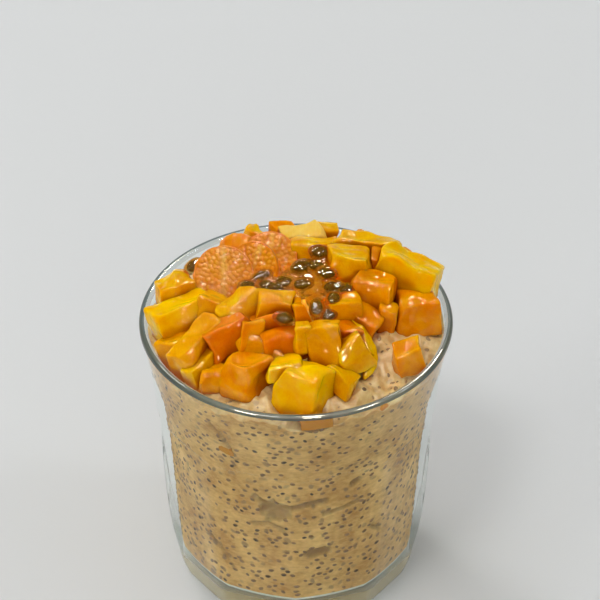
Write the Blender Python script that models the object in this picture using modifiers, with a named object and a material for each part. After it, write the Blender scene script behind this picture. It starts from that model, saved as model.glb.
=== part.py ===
"""Chia pudding in a faceted glass, topped with diced mango and papaya, halved
physalis and passion fruit pulp.

Lengths and places below are millimetres and angles are degrees.  The origin is the
middle of the glass's underside, +Z is up and -Y is the side the toppings face.
"""

import math
import random
from collections import namedtuple

import bmesh
import bpy
from mathutils import Euler, Matrix, Vector, noise
from mathutils.bvhtree import BVHTree

MM = 0.001
GAP = 0.3                    # clearance that touching pieces keep
WELD = 0.002                 # points closer than this are one

# ---------------------------------------------------------------- glass
GLASS_HEIGHT = 84.0
RIM_RADIUS = 44.0
RIM_WALL = 2.4               # the rim is a full round of this thickness
BASE_THICKNESS = 7.0
FACETS = 10
FACET_CORNER = 0.4           # how far a sharp corner would stand past the rounded one
FACET_TOP = 58.0             # the flats run out into the round band above this height
FACET_RUNOUT = (3.0, 4.2)    # how much higher and wider the flats are when they are clear of it
GLASS_SEGMENTS = 40
# (height, radius over the corners) of the faceted body, then of the round band
BODY_PROFILE = [(2.2, 33.3), (9.0, 35.0), (18.0, 36.9), (30.0, 38.3), (45.0, 39.4), (57.0, 39.9)]
BAND_PROFILE = [(62.0, 40.2), (70.0, 41.2), (79.0, 43.0)]
FOOT_RADIUS = 32.0
FOOT_EASE = (0.5, 0.6)       # how much wider and higher the body starts than the flat foot
# (height, radius) up the inner wall
CAVITY_PROFILE = [(11.0, 31.2), (18.0, 32.7), (30.0, 34.0), (45.0, 35.2), (57.0, 36.4),
                  (68.0, 38.1), (79.0, 40.4)]
CAVITY_CORNER = 4.0          # radius between the cavity's floor and its wall
CAVITY_MOUTH = 41.8          # the cavity's radius at the rim
COLLAR_FOOT = 50.0           # the wall that fruit is fitted to starts this high
CLEAR = 5.0                  # how far cutters reach past what they cut

# ---------------------------------------------------------------- pudding
PUDDING_EDGE_LEVEL = 79.0    # height where the pudding meets the wall
PUDDING_CROWN = 8.0          # how much higher it is heaped in the middle
PUDDING_LUMP = 1.2           # height and span of the small unevenness all over it
PUDDING_LUMP_SPAN = 9.0
# spoonfuls that stand higher: (x, y, span, rise)
PUDDING_SPOONFULS = [(-17, 15, 11, 3.0), (23, -17, 5, 1.6), (31, -9, 5, 1.2), (-12, -33, 4.5, 1.4),
                     (16, -34, 5, 0.8), (12, 20, 12, 1.6)]
PUDDING_RINGS = 7
PUDDING_SEGMENTS = 40
# air pockets against the wall: (bearing, height, width, tallness, depth, tilt)
AIR_POCKETS = [(-9, 42.5, 8.5, 8.0, 2.4, 8), (10, 26.5, 8.0, 3.4, 2.2, 4), (28, 51.0, 3.4, 2.4, 1.6, 20)]
# grooves against the wall: (radius, [(bearing, height), ...])
AIR_GROOVES = [
    (1.1, [(-19, 47.5), (-13, 45.0), (-4, 43.8), (6, 45.6), (14, 46.6)]),
    (0.7, [(13, 41.6), (21, 42.4), (30, 43.6)]),
    (0.9, [(-46, 25.4), (-40, 23.4), (-34, 20.6)]),
    (0.8, [(-36, 73.0), (-31, 69.5), (-28, 64.5)]),
    (0.7, [(38, 31.0), (43, 28.4)]),
    (0.7, [(-21, 36.6), (-13, 37.8), (-6, 35.8)]),
]
CHIA_SEED = (2.0, 1.4, 1.3)
CHIA_COUNT = 28
CHIA_CLEARANCE = 1.7         # least distance from a seed's middle to the fruit
CHIA_SPACING = 3.2           # and to the next seed's middle
DRAW_SEED = 12

# ---------------------------------------------------------------- fruit
# Pieces nearer the front of the list keep their whole shape; later ones are pressed
# round them.  at is the middle of the piece, size runs along it, across it and up it,
# turn is tilt about X, tilt about Y and bearing, taper narrows the top (length, width),
# bend curls it along its length, soft is the radius of its edges, and chops is how many
# corners a slanting cut has taken off.
Dice = namedtuple("Dice", "name at size turn taper bend soft chops", defaults=((0.9, 0.9), 0, 0.8, 0))
CHOP_DEPTH = 0.22            # how deep a chop goes, in shares of the piece's least size
UNEVEN = 0.05                # how far a block's corners wander, in shares of its size
ROUND_EDGE = 1.3             # edges softer than this get two facets
DICE = [
    # front, from left to right
    Dice("mango_strip_left", (-24.6, -21.0, 84.3), (16, 4.8, 7.5), (-18, -12, 52)),
    Dice("papaya_glossy_left", (-23.0, -26.0, 83.2), (7.4, 6.6, 6.8), (-8, 10, 24), (0.9, 0.9), 0, 1.2),
    Dice("papaya_cube_left", (-13.2, -27.0, 85.6), (11.6, 10.6, 11), (-16, 8, 40), (0.85, 0.85), 0, 1.2, 1),
    Dice("mango_front_shelf", (-2.8, -28.2, 88.4), (10.0, 8.0, 4.8), (-14, -8, 10), (0.8, 0.9), 0, 0.8, 1),
    Dice("mango_front", (2.6, -32.6, 84.6), (13.2, 12.4, 12.8), (-12, 4, -34), (0.8, 0.8), 0, 1.0, 1),
    Dice("mango_heel_front", (12.2, -28.6, 85.0), (11.6, 7.4, 6.4), (-20, 16, -34), (0.7, 0.8), 0, 1.4),
    Dice("papaya_glossy_right", (31.2, -18.0, 84.2), (8.2, 7.6, 7.8), (-10, -6, 18), (0.85, 0.85), 0, 1.4),
    # the second row
    Dice("papaya_block_center", (7.6, -21.6, 91.8), (8.6, 6.4, 12.6), (-14, -7, 6), (1.25, 0.85), 0, 0.6),
    Dice("mango_chip_center", (2.0, -21.6, 94.4), (3.8, 5.0, 8.0), (-12, -4, 4), (1.0, 0.9), 0, 0.5),
    Dice("mango_wedge_right", (15.6, -21.0, 88.0), (10.4, 9.4, 8.8), (-18, -22, 28), (0.75, 0.8), 0, 1.2, 1),
    Dice("mango_curl_right", (20.8, -17.2, 87.6), (21, 6.0, 3.4), (-58, 30, -72), (0.7, 0.9), 46),
    Dice("mango_strip_center", (-8.2, -20.8, 88.4), (16.5, 5.0, 5.2), (-30, 16, -38), (0.8, 0.9), 0, 0.6),
    Dice("papaya_wedge_center", (-3.4, -19.6, 89.8), (12.6, 7.6, 6.6), (-16, -8, 10), (0.8, 0.8), 0, 0.6, 1),
    Dice("papaya_nugget_left", (-11.8, -16.4, 90.8), (7.2, 7.0, 9.0), (-14, 8, 16), (0.9, 0.9), 0, 0.8, 1),
    Dice("papaya_wedge_left", (-19.4, -14.2, 89.2), (15, 9.6, 8.0), (-22, -14, 34), (0.8, 0.7), 0, 0.8, 1),
    Dice("mango_wedge_left", (-26.6, -16.8, 86.6), (19, 9.0, 9.0), (-22, -14, 50), (0.85, 0.75), 0, 1.0, 1),
    Dice("mango_low_left", (-33.4, -13.4, 82.6), (10, 8.6, 9.2), (-14, 8, 58), (0.85, 0.9), 0, 1.2),
    # round the middle
    Dice("mango_slab_center", (-5.7, -7.6, 94.6), (10.6, 8.8, 5.0), (-14, 2, -4), (0.9, 0.9), 0, 0.5),
    Dice("mango_spear_left", (-15.2, -6.4, 93.0), (16, 7.4, 7.0), (-18, -16, 36), (0.6, 0.75), 0, 0.8),
    Dice("papaya_under_slab", (-7.4, -12.6, 90.6), (10.4, 8.0, 7.0), (-16, 4, -6), (0.9, 0.9), 0, 0.6),
    Dice("papaya_sliver_center", (1.2, -10.4, 94.4), (4.6, 11, 6.0), (-22, 0, 6), (0.7, 0.9), 0, 0.5),
    Dice("papaya_ragged_right", (12.6, -7.2, 92.0), (9.6, 8.6, 8.0), (-14, 8, 12), (0.9, 0.8), 0, 0.5, 1),
    Dice("papaya_dark_right", (14.4, -14.8, 88.8), (8.0, 7.4, 7.8), (-10, 6, 30)),
    Dice("papaya_shadow_right", (19.2, -8.2, 88.8), (8.4, 8.0, 7.4), (-8, 10, -16)),
    Dice("papaya_nub_right", (25.2, -5.2, 88.0), (6.6, 6.4, 8.8), (-12, 8, -8), (0.9, 0.85), 0, 1.2),
    Dice("papaya_smooth_right", (21.4, 1.2, 92.8), (11.0, 9.4, 9.2), (-14, 4, -12), (0.9, 0.9), 0, 1.8),
    Dice("papaya_block_right", (33.8, -0.6, 86.8), (11.8, 9.6, 10.2), (-8, 4, 12), (0.9, 0.9), 0, 0.8, 1),
    Dice("mango_rim_left", (-31.8, -4.4, 87.8), (17, 11, 8.6), (-20, -8, 24), (0.9, 0.8), 0, 0.9, 1),
    Dice("mango_under_physalis", (-22.6, -4.4, 89.4), (12, 9.0, 8.0), (-22, 6, -20), (0.8, 0.8), 0, 1.0),
    Dice("mango_back_left", (-33.0, 6.4, 87.6), (12.4, 10, 8.0), (-14, -6, 14), (0.85, 0.8), 0, 1.4),
    # behind the middle
    Dice("mango_slab_right", (31.2, 11.2, 91.6), (19, 14, 9.0), (-22, 16, -22), (0.85, 0.8), 0, 1.2, 1),
    Dice("mango_block_back", (14.6, 10.6, 94.2), (12.4, 13, 8.8), (-22, 2, -6), (0.9, 0.8), 0, 1.2, 1),
    Dice("papaya_chip_back", (23.4, 13.2, 92.0), (6.6, 9.0, 7.6), (-16, 6, -18)),
    Dice("mango_ridge_back", (18.8, 20.4, 92.4), (18.6, 8.6, 7.4), (-12, 4, -4), (0.9, 0.7), 0, 0.8, 1),
    Dice("mango_ledge_back", (4.4, 20.6, 92.0), (12.0, 7.4, 7.4), (-12, 0, 2), (0.9, 0.8), 0, 0.8, 1),
    Dice("mango_pale_back", (0.8, 27.8, 89.8), (12.4, 7.6, 7.8), (-10, -4, 6)),
    Dice("mango_cube_back", (8.2, 30.2, 88.8), (5.4, 5.8, 7.6), (-6, 4, -6)),
    Dice("papaya_chip_far", (-3.6, 32.0, 88.6), (6.4, 5.6, 7.4), (-8, 0, 10), (0.8, 0.8)),
    Dice("mango_chip_far", (-11.6, 31.4, 87.9), (7.4, 6.6, 7.2), (-8, 8, 20), (0.7, 0.8), 0, 1.2),
    Dice("papaya_tip_far", (18.6, 31.2, 85.8), (6.4, 5.4, 6.4), (-6, 0, -30), (0.7, 0.7)),
    # the far side of the heap
    Dice("mango_rear_left", (-17.6, 31.2, 81.4), (9.4, 7.4, 7.0), (6, -4, -34)),
    Dice("papaya_rear_right", (29.0, 23.4, 83.6), (9.4, 7.6, 7.0), (6, 4, 38)),
    Dice("mango_rear_center", (6.6, 36.4, 82.6), (10.0, 5.6, 6.0), (10, 0, 8)),
    Dice("papaya_side_left", (-34.6, 15.8, 80.4), (7.0, 6.4, 6.6), (0, -8, -14)),
    # caught between the pudding and the wall
    Dice("mango_bit_crease", (-18.4, -31.2, 63.2), (4.6, 2.6, 2.2), (0, 14, -30), (0.8, 0.9), 0, 0.5),
    Dice("mango_sliver_wall", (23.6, -31.0, 77.4), (6.4, 2.0, 1.8), (0, -10, 37), (0.7, 0.9), 0, 0.4),
]
WALL_REACH = 36.0            # fruit that comes this far out is fitted to the wall

# Halved physalis: at is the middle of the cut face, bearing and rise say where it faces.
Half = namedtuple("Half", "name at radius depth bearing rise")
PHYSALIS = [
    Half("physalis_half_front", (-20.3, 7.4, 93.4), 8.5, 7.2, 0, 38),
    Half("physalis_half_middle", (-12.2, 12.0, 92.2), 7.8, 7.0, -34, 36),
    Half("physalis_half_right", (-7.4, 16.2, 92.6), 7.8, 7.0, -8, 44),
    Half("physalis_half_back", (-14.6, 22.6, 89.4), 7.4, 6.6, 160, 4),
]
PHYSALIS_SEGMENTS = 16
PHYSALIS_RELIEF = 0.35       # height and span of the seeds' relief on the cut face
PHYSALIS_SEED_SPAN = 1.5
# the cut face from its middle out: (share of the radius, height)
PHYSALIS_FACE = [(0.0, 0.25), (0.28, 0.2), (0.52, 0.1), (0.74, 0.05), (0.93, 0.15)]

# ---------------------------------------------------------------- passion fruit
PASSION_SEED = (4.8, 3.1, 2.4)
PULP_BLOBS = [               # (middle, half sizes)
    ((-7.4, 1.6, 92.6), (8.4, 5.0, 3.6)),
    ((1.6, 4.4, 93.2), (6.8, 6.0, 3.8)),
    ((6.4, 10.4, 93.6), (4.4, 5.4, 3.4)),
    ((8.8, -1.2, 92.8), (6.6, 6.0, 4.0)),
    ((8.0, -8.2, 92.0), (4.2, 3.6, 3.6)),
]
PULP_SEEDS = [               # (middle, bearing)
    ((6.8, 13.2, 97.2), 12), ((1.6, 6.6, 97.4), 30), ((5.6, 7.4, 97.2), -24), ((8.6, 3.4, 97.4), 8),
    ((1.8, -1.0, 97.0), -6), ((-3.4, 0.6, 96.4), 20), ((-7.8, -0.4, 96.0), -8), ((-9.6, 4.2, 95.6), 16),
    ((-13.6, 1.0, 94.6), 40), ((-5.8, -1.4, 95.6), 4), ((10.2, -2.2, 97.0), -10), ((10.6, -6.0, 95.8), 70),
    ((5.8, -9.8, 95.6), 84), ((9.4, -10.6, 94.0), 60), ((14.2, -1.6, 95.4), 30),
]
LOOSE_SEEDS = [("passion_seed_front", (-3.1, -14.8, 95.8), 4), ("passion_seed_left", (-28.6, 13.0, 92.4), 50)]

COLOURS = {                  # name: (red, green, blue, roughness)
    "glass": (0.86, 0.92, 0.91, 0.04),
    "pudding": (0.52, 0.36, 0.17, 0.45),
    "mango": (0.86, 0.42, 0.01, 0.28),
    "papaya": (0.84, 0.23, 0.01, 0.25),
    "physalis": (0.83, 0.22, 0.03, 0.32),
    "passion": (0.09, 0.07, 0.03, 0.2),
    "pulp": (0.48, 0.21, 0.03, 0.15),
}


# ---------------------------------------------------------------- small tools
def clear_scene():
    """Start from an empty scene with one collection for the parts and one for cutters."""
    for old in list(bpy.data.objects):
        bpy.data.objects.remove(old, do_unlink=True)
    made = []
    for title in ("chia_pudding", "cutters"):
        group = bpy.data.collections.new(title)
        bpy.context.scene.collection.children.link(group)
        made.append(group)
    return made


def material(kind):
    """The Principled material of one kind of stuff, made once."""
    found = bpy.data.materials.get(kind)
    if found:
        return found
    red, green, blue, roughness = COLOURS[kind]
    made = bpy.data.materials.new(kind)
    made.use_nodes = True
    shader = made.node_tree.nodes["Principled BSDF"]
    shader.inputs["Base Color"].default_value = (red, green, blue, 1.0)
    shader.inputs["Roughness"].default_value = roughness
    shader.inputs["Metallic"].default_value = 0.0
    if kind == "glass":
        shader.inputs["Transmission Weight"].default_value = 1.0
        shader.inputs["IOR"].default_value = 1.5
    made.diffuse_color = (red, green, blue, 1.0)
    return made


def add_object(name, mesh, group):
    """An object of this mesh in the given collection."""
    made = bpy.data.objects.new(name, mesh)
    group.objects.link(made)
    return made


def mesh_from(bm, name):
    """Turn a bmesh in millimetres into a mesh in metres."""
    bmesh.ops.scale(bm, vec=(MM, MM, MM), verts=bm.verts)
    bmesh.ops.recalc_face_normals(bm, faces=bm.faces)
    mesh = bpy.data.meshes.new(name)
    bm.to_mesh(mesh)
    bm.free()
    return mesh


def bake(obj):
    """Apply the object's modifiers to its mesh."""
    graph = bpy.context.evaluated_depsgraph_get()
    mesh = bpy.data.meshes.new_from_object(obj.evaluated_get(graph))
    obj.modifiers.clear()
    obj.data = mesh


def turned(name, profile, group, segments=GLASS_SEGMENTS, ring=False):
    """A solid of revolution from (radius, height) points; a ring's last point meets its first."""
    mesh = bpy.data.meshes.new(name)
    points = [(radius * MM, 0.0, height * MM) for radius, height in profile]
    edges = [(i, i + 1) for i in range(len(points) - 1)]
    if ring:
        edges.append((len(points) - 1, 0))
    mesh.from_pydata(points, edges, [])
    made = add_object(name, mesh, group)
    screw = made.modifiers.new("turn", "SCREW")
    screw.steps = screw.render_steps = segments
    screw.use_merge_vertices = True
    screw.merge_threshold = 0.00001
    bake(made)
    facing = bmesh.new()
    facing.from_mesh(made.data)
    bmesh.ops.recalc_face_normals(facing, faces=facing.faces)
    facing.to_mesh(made.data)
    facing.free()
    return made


def combine(obj, others, operation, solver="EXACT"):
    """Boolean the object with each of the others and apply it.

    The pudding is cut and fused with MANIFOLD, because EXACT pinches edges at its many dents.
    """
    for other in others:
        step = obj.modifiers.new("cut", "BOOLEAN")
        step.operation = operation
        step.solver = solver
        step.object = other
    bake(obj)


def unite(obj, group, solver="EXACT"):
    """Fuse every object of a collection to this one, then remove them."""
    step = obj.modifiers.new("fuse", "BOOLEAN")
    step.operation = "UNION"
    step.solver = solver
    step.operand_type = "COLLECTION"
    step.collection = group
    bake(obj)
    for spent in list(group.objects):
        bpy.data.objects.remove(spent, do_unlink=True)


def islands(bm):
    """The separate shells of a bmesh, each a list of faces."""
    left = set(bm.faces)
    found = []
    while left:
        shell = [left.pop()]
        for face in shell:
            for edge in face.edges:
                for near in edge.link_faces:
                    if near in left:
                        left.remove(near)
                        shell.append(near)
        found.append(shell)
    return found


def tidy(obj, flat=0.6):
    """Drop loose scraps that cutting left, and join faces that lie flat together.

    Joining can pinch a sliver, so the plainest step that leaves the mesh closed is kept.
    """
    bm = bmesh.new()
    bm.from_mesh(obj.data)
    shells = sorted(islands(bm), key=lambda shell: sum(face.calc_area() for face in shell))
    scraps = [face for shell in shells[:-1] for face in shell]
    bmesh.ops.delete(bm, geom=scraps, context="FACES")
    bmesh.ops.triangulate(bm, faces=bm.faces)
    steps = [bm, bm.copy(), bm.copy()]
    bmesh.ops.remove_doubles(steps[1], verts=steps[1].verts, dist=WELD * MM)
    bmesh.ops.remove_doubles(steps[2], verts=steps[2].verts, dist=WELD * MM)
    bmesh.ops.dissolve_limit(steps[2], angle_limit=math.radians(flat), verts=steps[2].verts,
                             edges=steps[2].edges)
    bmesh.ops.triangulate(steps[2], faces=steps[2].faces)
    kept = next(step for step in reversed(steps) if is_closed(step) or step is bm)
    bmesh.ops.recalc_face_normals(kept, faces=kept.faces)
    kept.to_mesh(obj.data)
    for step in steps:
        step.free()


def is_closed(bm):
    """Whether every edge joins just two faces and every face has some area."""
    return all(edge.is_manifold for edge in bm.edges) and all(face.calc_area() > 0 for face in bm.faces)


def fattened(name, shape, group, by=GAP):
    """A cutter: a mesh moved outwards by the clearance."""
    bm = bmesh.new()
    bm.from_mesh(shape)
    bm.normal_update()
    moves = [vert.normal * vert.calc_shell_factor() * by * MM for vert in bm.verts]
    for vert, move in zip(bm.verts, moves):
        vert.co += move
    mesh = bpy.data.meshes.new(name)
    bm.to_mesh(mesh)
    bm.free()
    cutter = add_object(name, mesh, group)
    cutter.hide_render = True
    cutter.display_type = "WIRE"
    return cutter


def bounds(obj):
    """Lowest and highest corner of an object whose mesh is in world space."""
    corners = [vert.co for vert in obj.data.vertices]
    low = Vector([min(c[i] for c in corners) for i in range(3)])
    high = Vector([max(c[i] for c in corners) for i in range(3)])
    return low, high


def touching(first, second):
    """Whether two objects' boxes meet."""
    low_a, high_a = bounds(first)
    low_b, high_b = bounds(second)
    return all(low_a[i] < high_b[i] and low_b[i] < high_a[i] for i in range(3))


# ---------------------------------------------------------------- glass
def arc(centre_radius, centre_height, radius, start, end, steps):
    """Points of an arc in the profile plane, angles from +R towards +Z."""
    points = []
    for i in range(steps + 1):
        angle = math.radians(start + (end - start) * i / steps)
        points.append((centre_radius + radius * math.cos(angle), centre_height + radius * math.sin(angle)))
    return points


def inner_radius(height):
    """The cavity's radius at a height, straight between the profile's points."""
    points = CAVITY_PROFILE + [(GLASS_HEIGHT, CAVITY_MOUTH)]
    if height <= points[0][0]:
        return points[0][1]
    for (low, near), (high, far) in zip(points, points[1:]):
        if height <= high:
            return near + (far - near) * (height - low) / (high - low)
    return points[-1][1]


def cavity_side(inset=0.0, top=None):
    """The cavity's profile from its floor's middle up the wall, set in by a gap."""
    floor = BASE_THICKNESS + inset
    foot = CAVITY_PROFILE[0][1] - CAVITY_CORNER - inset
    side = [(0.0, floor)] + arc(foot, floor + CAVITY_CORNER, CAVITY_CORNER, -90, -12, 2)
    heights = [height for height, _ in CAVITY_PROFILE[1:] if top is None or height < top - 1]
    side += [(inner_radius(height) - inset, height) for height in heights]
    return side


def facet_loft(group):
    """A ten-sided column whose flats trim the body and run clear of the round band."""
    rings = [(height, radius + FACET_CORNER) for height, radius in [(-CLEAR, FOOT_RADIUS)] + BODY_PROFILE]
    higher, wider = FACET_RUNOUT
    rings += [(FACET_TOP + higher, BODY_PROFILE[-1][1] + wider), (GLASS_HEIGHT + CLEAR, RIM_RADIUS + CLEAR)]
    bm = bmesh.new()
    loops = []
    for height, radius in rings:
        loop = []
        for i in range(FACETS):
            angle = math.radians(-90 + 360 * i / FACETS)
            loop.append(bm.verts.new((radius * math.cos(angle), radius * math.sin(angle), height)))
        loops.append(loop)
    for lower, upper in zip(loops, loops[1:]):
        for i in range(FACETS):
            j = (i + 1) % FACETS
            bm.faces.new((lower[i], lower[j], upper[j], upper[i]))
    bm.faces.new(loops[0][::-1])
    bm.faces.new(loops[-1])
    return add_object("facet_column", mesh_from(bm, "facet_column"), group)


def make_glass(parts, cutters):
    """The glass: a turned shell with ten flats up to the round band under its rim."""
    round_ = RIM_WALL / 2
    middle = RIM_RADIUS - round_
    rim = arc(middle, GLASS_HEIGHT - round_, round_, 180, 0, 6)
    outside = [(radius, height) for height, radius in reversed(BODY_PROFILE + BAND_PROFILE)]
    foot = [(FOOT_RADIUS + FOOT_EASE[0], FOOT_EASE[1]), (FOOT_RADIUS, 0.0), (0.0, 0.0)]
    profile = cavity_side() + rim + outside + foot
    glass = turned("glass", profile, parts)
    column = facet_loft(cutters)
    combine(glass, [column], "INTERSECT")
    bpy.data.objects.remove(column, do_unlink=True)
    tidy(glass, flat=0.05)
    return glass


def wall_cutter(cutters):
    """A collar that stands for the glass's wall and rim, a gap inside them."""
    heights = [COLLAR_FOOT] + [height for height, _ in CAVITY_PROFILE if height > COLLAR_FOOT]
    inside = [(inner_radius(height) - GAP, height) for height in heights]
    round_ = RIM_WALL / 2
    rim = arc(RIM_RADIUS - round_, GLASS_HEIGHT - round_, round_ + GAP, 180, 0, 6)
    return turned("collar", inside + rim + [(RIM_RADIUS + CLEAR, COLLAR_FOOT)], cutters, ring=True)


# ---------------------------------------------------------------- fruit
def placed(bm, at, turn):
    """Turn and move a bmesh to its place."""
    spin = Euler([math.radians(angle) for angle in turn], "XYZ").to_matrix().to_4x4()
    bmesh.ops.transform(bm, matrix=Matrix.Translation(at) @ spin, verts=bm.verts)


def chop(bm, dice, draw):
    """Slice one upper corner off a block, leaving it convex."""
    sideways = [draw.choice((-1, 1)) * draw.uniform(0.6, 1.0) for _ in range(2)]
    way = Vector((*sideways, draw.uniform(0.5, 1.0))).normalized()
    reach = max(vert.co.dot(way) for vert in bm.verts) - CHOP_DEPTH * min(dice.size)
    bmesh.ops.bisect_plane(bm, geom=bm.verts[:] + bm.edges[:] + bm.faces[:], plane_co=way * reach,
                           plane_no=way, clear_outer=True)
    corners = [vert.co.copy() for vert in bm.verts]
    bm.clear()
    bmesh.ops.convex_hull(bm, input=[bm.verts.new(corner) for corner in corners])


def make_dice(dice, parts, draw):
    """A knife-cut block: a cube with uneven corners, tapered, curled and bevelled."""
    bm = bmesh.new()
    bmesh.ops.create_cube(bm, size=1.0)
    if dice.bend:
        along = [edge for edge in bm.edges if abs(edge.verts[0].co.x - edge.verts[1].co.x) > 0.5]
        bmesh.ops.subdivide_edges(bm, edges=along, cuts=3, use_grid_fill=True)
    length, width, height = dice.size
    for vert in bm.verts:
        on_bend = abs(vert.co.x) < 0.45
        vert.co += Vector([draw.uniform(-UNEVEN, UNEVEN) for _ in range(3)]) * (0.3 if on_bend else 1.0)
        if vert.co.z > 0:
            vert.co.x *= dice.taper[0]
            vert.co.y *= dice.taper[1]
        vert.co = Vector((vert.co.x * length, vert.co.y * width, vert.co.z * height))
    for _ in range(dice.chops):
        chop(bm, dice, draw)
    if dice.bend:
        radius = length / math.radians(dice.bend)
        for vert in bm.verts:
            angle = vert.co.x / radius
            reach = radius + vert.co.z
            vert.co.x = reach * math.sin(angle)
            vert.co.z = reach * math.cos(angle) - radius
    bmesh.ops.triangulate(bm, faces=bm.faces)
    placed(bm, dice.at, dice.turn)
    block = mesh_from(bm.copy(), dice.name + "_block")
    sharp = [edge for edge in bm.edges if edge.calc_face_angle(0) > math.radians(30)]
    bmesh.ops.bevel(bm, geom=sharp, offset=dice.soft, segments=2 if dice.soft > ROUND_EDGE else 1,
                    profile=0.5, affect="EDGES")
    return add_object(dice.name, mesh_from(bm, dice.name), parts), block


def make_physalis(half, parts):
    """Half a physalis: a round cut face with low seed relief on a smooth dome."""
    dome = [(half.radius * math.cos(math.radians(a)), -half.depth * math.sin(math.radians(a)))
            for a in (0, 16, 38, 64)]
    face = [(share * half.radius, height) for share, height in PHYSALIS_FACE]
    profile = face + dome + [(0.0, -half.depth)]
    made = turned(half.name, profile, parts, PHYSALIS_SEGMENTS)
    lean = Matrix.Rotation(math.radians(90 - half.rise), 4, "X")
    swing = Matrix.Rotation(math.radians(half.bearing), 4, "Z")
    bm = bmesh.new()
    bm.from_mesh(made.data)
    for vert in bm.verts:
        if vert.co.z > -0.1 * MM and vert.co.xy.length < 0.9 * half.radius * MM:
            where = vert.co / (PHYSALIS_SEED_SPAN * MM) + Vector(half.at)
            vert.co.z += PHYSALIS_RELIEF * MM * noise.noise(where)
    bmesh.ops.transform(bm, matrix=Matrix.Translation(Vector(half.at) * MM) @ swing @ lean, verts=bm.verts)
    bm.to_mesh(made.data)
    bm.free()
    return made


def ellipsoid(name, at, size, bearing, group, segments=6, rings=5):
    """A closed ellipsoid of full sizes given, its long axis on a bearing."""
    bm = bmesh.new()
    bmesh.ops.create_uvsphere(bm, u_segments=segments, v_segments=rings, radius=0.5)
    bmesh.ops.rotate(bm, matrix=Matrix.Rotation(math.radians(90), 3, "Y"), verts=bm.verts)
    bmesh.ops.scale(bm, vec=size, verts=bm.verts)
    placed(bm, at, (0, 0, bearing))
    return add_object(name, mesh_from(bm, name), group)


def make_pulp(parts, fusing):
    """The passion fruit pulp: runny blobs with the seeds fused on them."""
    first, *rest = PULP_BLOBS
    pulp = ellipsoid("passion_pulp", first[0], [2 * half for half in first[1]], 0, parts, 10, 6)
    for middle, halves in rest:
        ellipsoid("blob", middle, [2 * half for half in halves], 0, fusing, 10, 6)
    for middle, bearing in PULP_SEEDS:
        ellipsoid("seed", middle, PASSION_SEED, bearing, fusing)
    unite(pulp, fusing)
    tidy(pulp)
    return pulp


# ---------------------------------------------------------------- pudding
def pudding_top(x, y):
    """Height of the pudding's surface over a place."""
    edge = inner_radius(PUDDING_EDGE_LEVEL)
    inward = max(0.0, 1.0 - (x * x + y * y) / edge ** 2)
    height = PUDDING_EDGE_LEVEL + PUDDING_CROWN * inward ** 1.2
    height += PUDDING_LUMP * noise.noise(Vector((x, y, PUDDING_CROWN)) / PUDDING_LUMP_SPAN)
    for at_x, at_y, span, rise in PUDDING_SPOONFULS:
        height += rise * math.exp(-((x - at_x) ** 2 + (y - at_y) ** 2) / span ** 2)
    return height


def wall_place(bearing, height, inset=GAP):
    """A place on the pudding's side, bearing 0 being the front."""
    radius = inner_radius(height) - inset
    angle = math.radians(bearing)
    return Vector((radius * math.sin(angle), -radius * math.cos(angle), height))


def make_air(cutters):
    """Cutters for the air pockets and grooves that the pudding left at the wall."""
    made = []
    for bearing, height, width, tallness, depth, tilt in AIR_POCKETS:
        bm = bmesh.new()
        bmesh.ops.create_uvsphere(bm, u_segments=8, v_segments=6, radius=0.5)
        bmesh.ops.scale(bm, vec=(width, 2 * depth, tallness), verts=bm.verts)
        placed(bm, wall_place(bearing, height), (0, tilt, bearing))
        made.append(add_object("pocket", mesh_from(bm, "pocket"), cutters))
    for radius, route in AIR_GROOVES:
        curve = bpy.data.curves.new("groove", "CURVE")
        curve.dimensions = "3D"
        curve.bevel_depth = radius * MM
        curve.bevel_resolution = 1
        curve.use_fill_caps = True
        spline = curve.splines.new("POLY")
        spline.points.add(len(route) - 1)
        for point, (bearing, height) in zip(spline.points, route):
            point.co = (*(wall_place(bearing, height) * MM), 1.0)
        for end in (spline.points[0], spline.points[-1]):
            end.radius = 0.35
        drawn = add_object("groove_curve", curve, cutters)
        graph = bpy.context.evaluated_depsgraph_get()
        mesh = bpy.data.meshes.new_from_object(drawn.evaluated_get(graph))
        bpy.data.objects.remove(drawn, do_unlink=True)
        bm = bmesh.new()
        bm.from_mesh(mesh)
        bmesh.ops.remove_doubles(bm, verts=bm.verts, dist=0.01 * MM)
        bmesh.ops.recalc_face_normals(bm, faces=bm.faces)
        bm.to_mesh(mesh)
        bm.free()
        made.append(add_object("groove", mesh, cutters))
    return made


def make_pudding(parts):
    """The pudding: fills the glass, heaped and lumpy on top."""
    edge = inner_radius(PUDDING_EDGE_LEVEL) - GAP
    side = cavity_side(GAP, PUDDING_EDGE_LEVEL)[::-1]
    top = [(edge * i / PUDDING_RINGS, PUDDING_EDGE_LEVEL) for i in range(PUDDING_RINGS + 1)]
    pudding = turned("pudding", top + side, parts, PUDDING_SEGMENTS)
    for vert in pudding.data.vertices:
        if vert.co.z > (PUDDING_EDGE_LEVEL - 0.1) * MM:
            vert.co.z = pudding_top(vert.co.x / MM, vert.co.y / MM) * MM
    return pudding


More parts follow.
